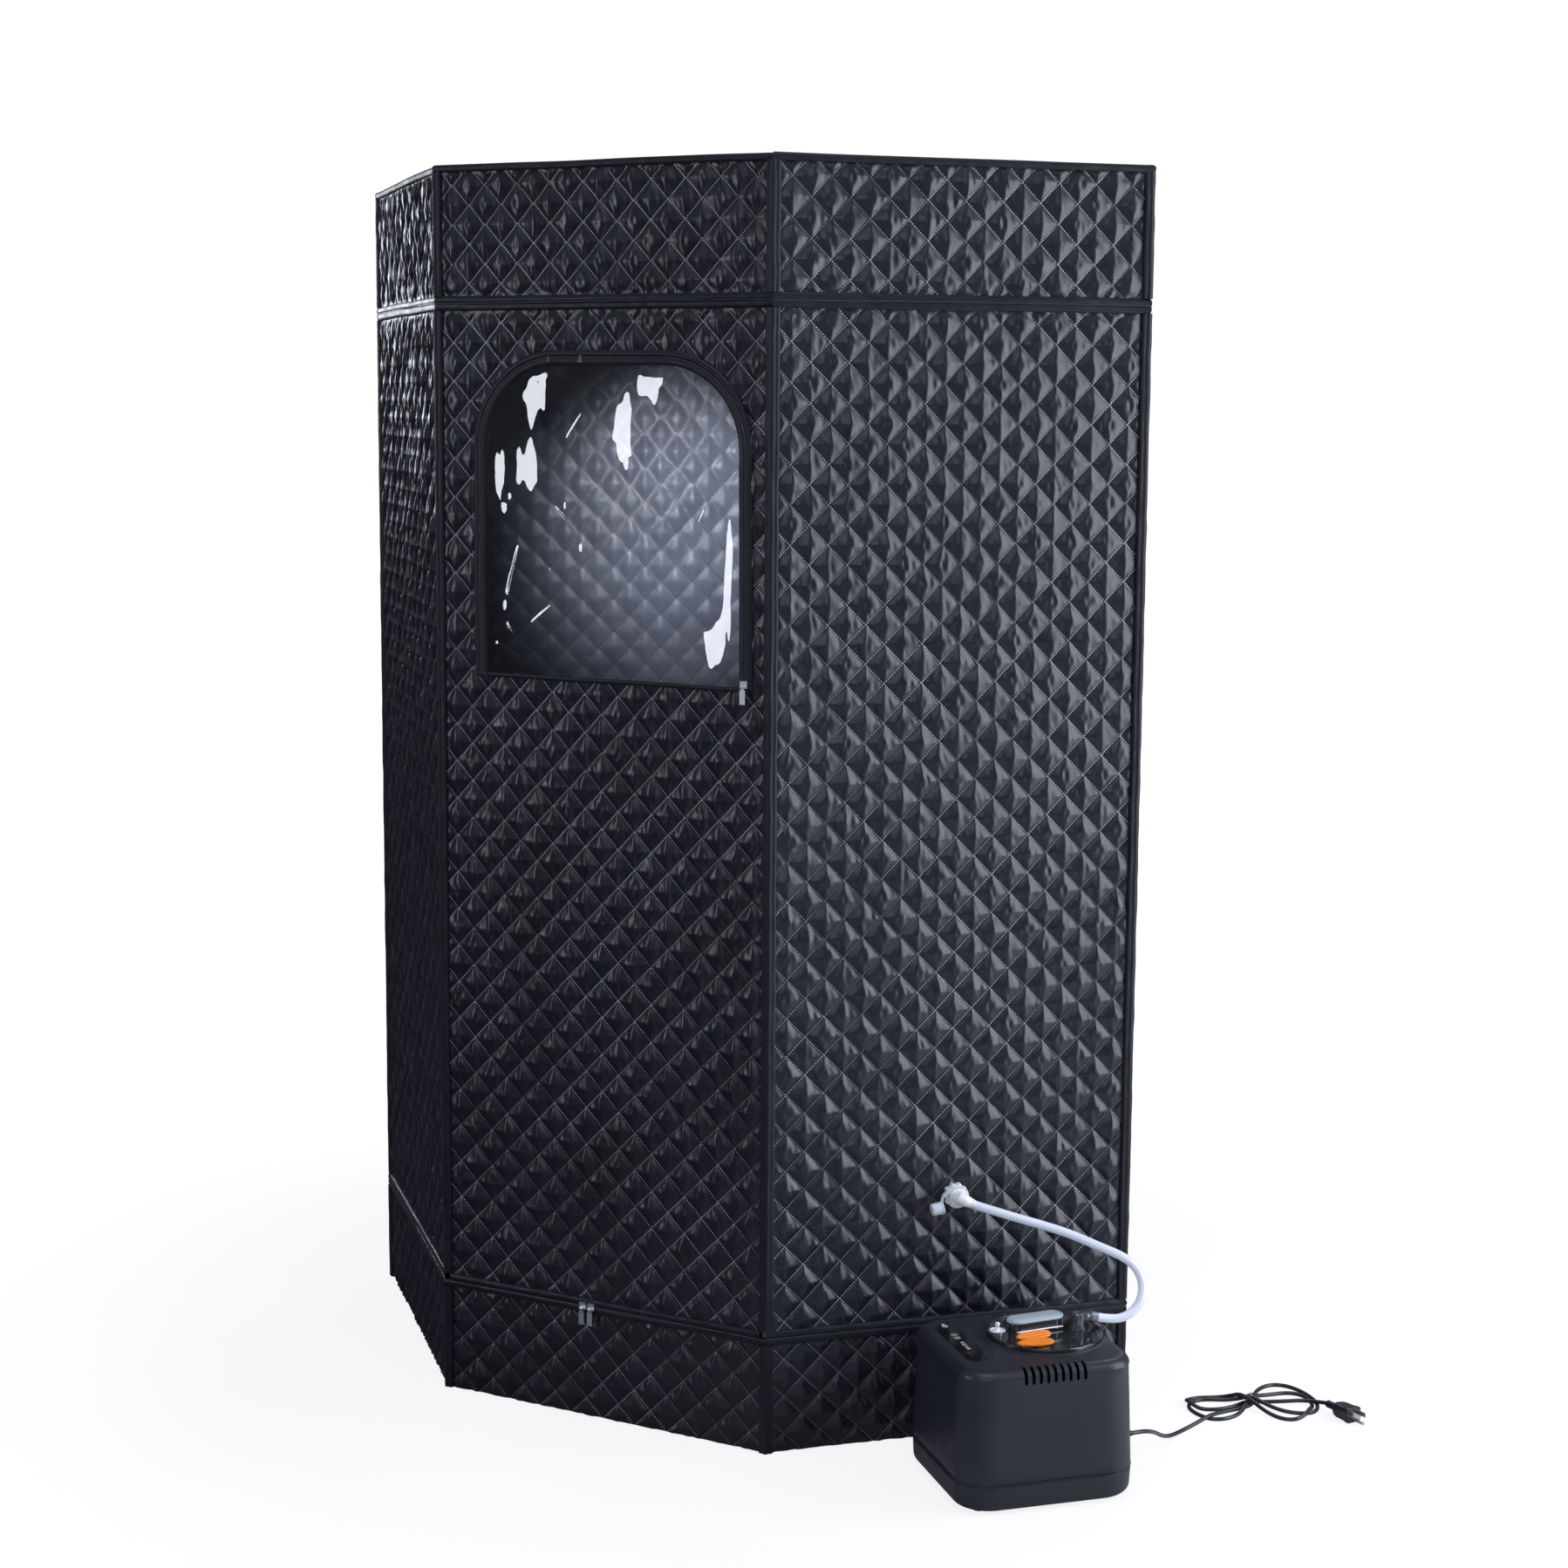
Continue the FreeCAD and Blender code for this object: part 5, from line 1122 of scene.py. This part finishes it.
def slot_cutter():
    """Nine upright slots with round ends that run over the front top edge."""
    blocks = []
    for u in VENTS:
        rows = []
        for v in (-0.1265, -0.1010):
            ring = []
            for corner_u, corner_up, start in ((0.0023, 0.204, 0), (-0.0023, 0.204, 90), (-0.0023, 0.179, 180),
                                               (0.0023, 0.179, 270)):
                for t in (start, start + 30, start + 60, start + 90):
                    ring.append((u + corner_u - math.copysign(0.002, corner_u) + 0.002 * math.cos(math.radians(t)),
                                 corner_up + 0.002 * math.sin(math.radians(t))))
            ring = np.array(ring)
            rows.append(case_array(ring[:, 0], np.full(len(ring), v), ring[:, 1]))
        blocks.append(skin("cutter", rows, HOUSING, join_columns=True, caps=True))
    cutter = joined("cutter", blocks)
    bm = bmesh.new()
    bm.from_mesh(cutter.data)
    bmesh.ops.recalc_face_normals(bm, faces=bm.faces)
    bm.to_mesh(cutter.data)
    bm.free()
    return cutter


def oblong_ring(long, wide, count=20):
    """Outline of a strip with half-round ends, as pairs."""
    half = (long - wide) / 2
    return np.array([(shift + wide / 2 * math.cos(t), wide / 2 * math.sin(t))
                     for shift, start in ((half, -math.pi / 2), (-half, math.pi / 2))
                     for t in np.linspace(start, start + math.pi, count)])


def case_frame(u, v, up, turn, tilt=0.0):
    """Matrix of a place on the generator: turn about the upright, then a lean about its own length."""
    axis, across = direction(45), direction(135)
    base = Matrix((axis, across, UP)).transposed().to_4x4()
    return Matrix.Translation(case_point(u, v, up)) @ base @ Matrix.Rotation(math.radians(turn), 4, "Z") \
        @ Matrix.Rotation(math.radians(tilt), 4, "X")


def placed(rings, matrix):
    """Rings of local points, moved by a matrix."""
    grid = np.array(matrix)
    return [np.asarray(ring) @ grid[:3, :3].T + grid[:3, 3] for ring in rings]


def level_ring(pairs, up, centre=(0, 0)):
    return np.column_stack([pairs + np.array(centre), np.full(len(pairs), up)])


LID_TOP = 0.2013
POST = (0.086, 0.010)
BOX_FRAME = (0.028, 0.024, LID_TOP, 7)
LATCH_FRAME = (0.003, -0.036, 0.2053, 2)
VALVE = (-0.032, 0.013)


def make_herb_cap():
    """Grey-blue cap with a soft edge and a raised middle."""
    low = 0.0143
    rings = []
    for inset, up in ((0.0010, low), (0.0, low + 0.0008), (0.0, low + 0.0026), (0.0006, low + 0.0038),
                      (0.0018, low + 0.0046), (0.0034, low + 0.0049), (0.0038, low + 0.0045), (0.0046, low + 0.0045),
                      (0.0052, low + 0.0050), (0.0090, low + 0.0051), (0.0140, low + 0.0051)):
        rings.append(level_ring(oblong_ring(0.086 - 2 * inset, 0.030 - 2 * inset), up))
    cap = skin("herb_cap_shell", placed(rings, case_frame(*BOX_FRAME)), CAP_GREY, join_columns=True, caps=True,
               sharp=45)
    finish_piece(cap, "herb_cap", "cap_grey", "herb_cap")
    inner = [level_ring(oblong_ring(0.0756, 0.0196), low - 0.0030), level_ring(oblong_ring(0.0756, 0.0196), low)]
    plug = skin("herb_cap_plug", placed(inner, case_frame(*BOX_FRAME)), CAP_GREY, join_columns=True, caps=True)
    finish_piece(plug, "herb_cap", "cap_grey")


def leaf_ring(long, wide, count=48):
    """Outline of a leaf that is broad at one end and narrow at the other, as pairs."""
    angles = np.linspace(0, 2 * math.pi, count, endpoint=False)
    breadth = np.abs(np.sin(angles)) ** 0.85 * np.sign(np.sin(angles)) * (0.86 + 0.14 * np.cos(angles))
    return np.column_stack([long / 2 * np.cos(angles), wide / 2 * breadth])


def make_latch():
    """Two ribbed petals on a hub."""
    petals = []
    for side, rise, tilt, turn in ((1, 0.0052, 34, 4), (-1, 0.0012, 20, -5)):
        matrix = (case_frame(*LATCH_FRAME) @ Matrix.Translation((0.002 * side, side * 0.0086, rise))
                  @ Matrix.Rotation(math.radians(turn), 4, "Z") @ Matrix.Rotation(math.radians(tilt), 4, "X"))
        rings = []
        for inset, up in ((0.0012, 0.0), (0.0002, 0.0006), (0.0, 0.0022), (0.0010, 0.0033)):
            rings.append(level_ring(leaf_ring(0.053 - 2 * inset, 0.0178 - 2 * inset), up))
        for share in np.linspace(0.12, 1, 14):
            ring = leaf_ring(0.053 - 0.002, 0.0178 - 0.002) * np.array([1 - 0.6 * share, 1 - share])
            ridge = 0.0006 * np.cos(ring[:, 1] / 0.00068)
            rings.append(np.column_stack([ring, 0.0035 + ridge * min(1.0, 4 * (1 - share) + 0.6)]))
        petals.append(skin("latch_petal", placed(rings, matrix), ORANGE, join_columns=True, caps=True, sharp=60))
    hub = [level_ring(np.array([(r * math.cos(t), r * math.sin(t)) for t in np.linspace(0, 2 * math.pi, 32)[:-1]]), up)
           for r, up in ((0.0060, -0.0037), (0.0060, 0.0030), (0.0050, 0.0042), (0.0020, 0.0046))]
    petals.append(skin("latch_hub", placed(hub, case_frame(*LATCH_FRAME)), ORANGE, join_columns=True, caps=True,
                       sharp=45))
    finish_piece(joined("latch_petals", petals), "lid_latch", "latch_orange", "lid_latch")


def turned(name, profile, matrix, material, count=64, sharp=40):
    """A turned shape from (radius, height) pairs."""
    angles = np.linspace(0, 2 * math.pi, count, endpoint=False)
    rings = [np.column_stack([r * np.cos(angles), r * np.sin(angles), np.full(count, up)]) for r, up in profile]
    return skin(name, placed(rings, matrix), material, join_columns=True, caps=True, sharp=sharp)


def make_lid_details():
    lid = case_frame(LID_U, LID_V, 0, 0)
    rim = turned("lid_rim", [(0.0795, 0.1975), (0.0799, 0.1990), (0.0797, 0.2010), (0.0788, 0.2020), (0.0772, 0.2022),
                             (0.0762, 0.2016), (0.0758, 0.2008), (0.0700, 0.2008), (0.0696, 0.1990)], lid, SMOKY, 128)
    finish_piece(rim, "cabin", "smoky_clear")
    studs = []
    for n in range(12):
        angle = math.radians(30 * n + 12)
        matrix = case_frame(LID_U + 0.0725 * math.cos(angle), LID_V + 0.0725 * math.sin(angle), 0.2008, 30 * n + 12)
        rings = [level_ring(oblong_ring(0.006, 0.0026, 8), 0.0), level_ring(oblong_ring(0.006, 0.0026, 8), 0.0009),
                 level_ring(oblong_ring(0.005, 0.0018, 8), 0.0014)]
        studs.append(skin("lid_notch", placed(rings, matrix), SMOKY, join_columns=True, caps=True))
    finish_piece(joined("lid_notches", studs), "cabin", "smoky_clear")
    rails = []
    for shift in (-0.0145, 0.0145):
        ends = placed([[(-0.036, shift, 0.0035), (-0.012, shift, 0.0038), (0.012, shift, 0.0038),
                        (0.036, shift, 0.0035)]], case_frame(*BOX_FRAME))[0]
        rails.append(solid_from(curve_object("herb_rail", [Vector(p) for p in ends], 0.0013, METAL)))
    finish_piece(joined("herb_rails", rails), "cabin", "zip_metal")
    socket = turned("valve_socket",
                    [(0.0078, 0.0), (0.0078, 0.0022), (0.0070, 0.0040), (0.0066, 0.0050), (0.0030, 0.0052)],
                    case_frame(*VALVE, LID_TOP, 0), CLEAR, 40)
    finish_piece(socket, "cabin", "clear_plastic")
    valve = turned("valve_body",
                   [(0.0016, -0.006), (0.0016, 0.0), (0.0092, 0.0004), (0.0108, 0.0010), (0.0111, 0.0023),
                    (0.0107, 0.0025), (0.0098, 0.0015), (0.0042, 0.0013), (0.0027, 0.0030), (0.0025, 0.0070),
                    (0.0033, 0.0088), (0.0036, 0.0106), (0.0031, 0.0124), (0.0016, 0.0134), (0.0006, 0.0136)],
                   case_frame(*VALVE, 0.2067, 0), WHITE, 40, 60)
    finish_piece(valve, "relief_valve", "inlet_white", "relief_valve")


def make_outlet():
    """Smoky elbow: a square foot and post, a collar, a barbed arm and the ribbed grip over the hose's end."""
    base = case_frame(*POST, LID_TOP, 0)
    post = turned("outlet_post",
                  [(0.0110, 0.0), (0.0110, 0.0018), (0.0088, 0.0028), (0.0082, 0.0050), (0.0080, 0.0170),
                   (0.0086, 0.0178), (0.0086, 0.0212), (0.0072, 0.0226), (0.0030, 0.0228)], base, FITTING)
    arm_frame = case_frame(*POST, OUTLET[2], 0) @ Matrix.Rotation(math.radians(90), 4, "Y")
    arm = turned("outlet_arm",
                 [(0.0066, 0.0040), (0.0072, 0.0078), (0.0080, 0.0080), (0.0080, 0.0112), (0.0072, 0.0118),
                  (0.0062, 0.0150), (0.0062, 0.0210), (0.0040, 0.0214)], arm_frame, FITTING)
    clip = []
    for side in (-1, 1):
        rings = [level_ring(oblong_ring(long, wide, 8), up, (0.0, side * out))
                 for long, wide, up, out in ((0.010, 0.0030, 0.0, 0.0095), (0.010, 0.0030, 0.019, 0.0092),
                                             (0.008, 0.0020, 0.021, 0.0090))]
        clip.append(skin("outlet_clip", placed(rings, base), FITTING, join_columns=True, caps=True, sharp=50))
    mouth = case_point(*OUTLET)
    last = HOSE_ROUTE[-1]
    away = (wall_point("right", last[0], -last[1], last[2]) - mouth).normalized()
    grip_frame = Matrix.Translation(mouth) @ away.to_track_quat("Z", "Y").to_matrix().to_4x4()
    profile = [(0.0060, -0.0042), (0.0076, -0.0040)]
    for rib in range(4):
        at = -0.0034 + 0.0030 * rib
        profile += [(0.0082, at), (0.0082, at + 0.0014), (0.0074, at + 0.0018), (0.0074, at + 0.0026)]
    grip = turned("outlet_grip", profile + [(0.0066, 0.0088)], grip_frame, FITTING)
    finish_piece(joined("outlet_shell", [post, arm, grip] + clip), "cabin", "clear_plastic", "steam_outlet")


def arc_tube(points, radius, matrix):
    path = placed([points], matrix)[0]
    return solid_from(curve_object("icon_line", [Vector(p) for p in path], radius, ICON))


def make_icons():
    """Plain symbols beside the keys: power, clock, warmth and steam, and a mark on the display."""
    lines = []
    key_u = -0.086

    def symbol(v, strokes):
        matrix = case_frame(key_u, v, CASE_TOP + 0.00145, 90)
        for stroke in strokes:
            lines.append(arc_tube([(x, y, 0) for x, y in stroke], 0.00042, matrix))

    def arc(radius, first, last, count=12, shift=(0, 0)):
        return [(shift[0] + radius * math.cos(math.radians(t)), shift[1] + radius * math.sin(math.radians(t)))
                for t in np.linspace(first, last, count)]

    symbol(0.075, [arc(0.0026, 120, 420), [(0, 0.0010), (0, 0.0022), (0, 0.0034)], arc(0.0042, 0, 360, 24)])
    symbol(-0.002, [arc(0.0030, 0, 360, 20), [(0, 0.0020), (0, 0.0008), (0, 0)], [(0, 0), (0.0008, 0), (0.0017, 0)]])
    symbol(-0.019, [[(x, y + 0.0006 * math.sin(y * 1800)) for y in np.linspace(-0.003, 0.003, 8)]
                    for x in (-0.002, 0.0, 0.002)])
    for v in (-0.002, -0.019, 0.075):
        symbol(v, [[(x, y) for y in (-0.0024, 0, 0.0024)] for x in (0.0075, 0.0090)])
    digits = [[(x, y) for x in xs] for xs in ((-0.009, -0.0065, -0.004), (0.004, 0.0065, 0.009))
              for y in (-0.0035, 0.0, 0.0035)]
    digits += [[(x, y) for y in ys] for ys in ((-0.003, -0.0018, -0.0006), (0.0006, 0.0018, 0.003))
               for x in (-0.0094, -0.0036, 0.0036, 0.0094)]
    symbol(0.032, digits)
    finish_piece(joined("panel_icons", lines), "cabin", "panel_gloss")


def port_point(x, y, out):
    """A point about the inlet's axis, in the right wall's frame."""
    return wall_point("right", PORT_ALONG + x, -out, PORT_UP + y)


def port_turned(name, profile, material, lobes=None, sharp=40):
    """A turned shape on the inlet's axis from (radius, out) pairs; lobes gives the radius added at each angle."""
    angles = np.linspace(0, 2 * math.pi, 120, endpoint=False)
    rows = []
    for radius, out in profile:
        extra = lobes(angles, out) if lobes else 0 * angles
        rows.append([port_point((radius + e) * math.cos(t), (radius + e) * math.sin(t), out)
                     for t, e in zip(angles, extra)])
    return skin(name, rows, material, join_columns=True, sharp=sharp)


def make_inlet():
    """Lobed nut with a collar, and the sleeve that carries the hose."""
    def lobes(angles, out):
        depth = 0.0021 * ease((0.0112 - out) / 0.0012) + 0.0004
        return depth * (np.clip(np.cos(10 * angles) * 1.6, -1, 1) - 1) / 2

    nut = port_turned("inlet_nut_shell", [(0.0140, 0.0002), (0.0168, 0.0003), (0.0178, 0.0010), (0.0180, 0.0026),
                      (0.0180, 0.0084), (0.0176, 0.0100), (0.0164, 0.0110), (0.0152, 0.0113), (0.0150, 0.0120),
                      (0.0152, 0.0128), (0.0152, 0.0146), (0.0147, 0.0154), (0.0136, 0.0155)], WHITE, lobes, 50)
    finish_piece(nut, "cabin", "inlet_white", "inlet_nut")
    start = port_point(0, 0, ELBOW_OUT)
    _, run, into = wall_axes("right")
    toward = (run * HOSE_FIRST.x + into * HOSE_FIRST.y + UP * HOSE_FIRST.z).normalized()
    side = toward.cross(UP).normalized()
    over = side.cross(toward)
    rows = []
    for at, radius in ((-0.0040, 0.0090), (0.0, 0.0094), (0.0050, 0.0090), (0.0100, 0.0084), (0.0106, 0.0078),
                       (0.0150, 0.0074), (0.0154, 0.0070), (0.0200, 0.0067), (0.0204, 0.0062), (0.0240, 0.0058)):
        rows.append([start + toward * at + side * radius * math.cos(t) + over * radius * math.sin(t)
                     for t in np.linspace(0, 2 * math.pi, 48, endpoint=False)])
    sleeve = skin("inlet_sleeve", rows, WHITE, join_columns=True, sharp=40)
    bend = port_turned("inlet_bend", [(0.0088, 0.0150), (0.0090, 0.0250), (0.0087, 0.0290), (0.0077, 0.0322),
                       (0.0057, 0.0346), (0.0030, 0.0358), (0.0003, 0.0362)], WHITE)
    finish_piece(joined("inlet_elbow_shell", [sleeve, bend]), "cabin", "inlet_white", "inlet_elbow")


CAP_HEADING, CAP_TURN, CAP_REACH, CAP_LONG = math.radians(205), math.radians(-17), 0.035, 0.017


def make_inlet_cap():
    """One soft moulding: a ring round the neck, a bent strap and the cap that hangs on its side from it."""
    ring = port_turned("inlet_cap_ring", [(0.0140, 0.0157), (0.0162, 0.0157), (0.0165, 0.0165), (0.0162, 0.0172),
                       (0.0140, 0.0172), (0.0138, 0.0165), (0.0140, 0.0157)], CAP_CLEAR, sharp=50)
    along = Vector((math.cos(CAP_HEADING), math.sin(CAP_HEADING)))
    axis = Vector((math.cos(CAP_HEADING + CAP_TURN), math.sin(CAP_HEADING + CAP_TURN)))
    aside = Vector((-axis.y, axis.x))
    centre = along * CAP_REACH
    rim = centre - axis * CAP_LONG / 2
    first, last = Vector((-0.0128, 0.0078)), rim - aside * 0.0085 + axis * 0.0004
    control = Vector((-0.0235, 0.0085))
    rows = []
    for share in np.linspace(0, 1, 28):
        middle = first * (1 - share) ** 2 + control * 2 * share * (1 - share) + last * share ** 2
        ahead = ((control - first) * (1 - share) + (last - control) * share).normalized()
        out = 0.0166 + 0.0008 * share
        rows.append([port_point(*(middle + Vector((-ahead.y, ahead.x)) * thick), out + wide)
                     for thick, wide in ((-0.0008, -0.0032), (0.0008, -0.0032), (0.0010, 0.0), (0.0008, 0.0032),
                                         (-0.0008, 0.0032), (-0.0010, 0.0))])
    parts = [ring, skin("inlet_cap_strap", rows, CAP_CLEAR, join_columns=True, caps=True, sharp=50)]
    cup = []
    for at, radius in ((-0.0090, 0.0072), (-0.0086, 0.0093), (-0.0072, 0.0096), (-0.0066, 0.0094), (-0.0062, 0.0088),
                       (0.0060, 0.0087), (0.0078, 0.0083), (0.0085, 0.0070), (0.0086, 0.0030)):
        middle = centre + axis * at
        cup.append([port_point(*(middle + aside * radius * math.cos(t)), 0.0174 + radius * math.sin(t))
                    for t in np.linspace(0, 2 * math.pi, 48, endpoint=False)])
    parts.append(skin("inlet_cap_cup", cup, CAP_CLEAR, join_columns=True, caps=True, sharp=40))
    finish_piece(joined("inlet_cap_moulding", parts), "inlet_cap", "inlet_white", "inlet_cap")


make_camera()
make_stage()
make_lights()
make_hose()
make_cord()
make_panels()
make_sheets()
make_bands()
make_bindings()
make_window()
make_case()
make_herb_cap()
make_latch()
make_lid_details()
make_outlet()
make_icons()
make_inlet()
make_inlet_cap()
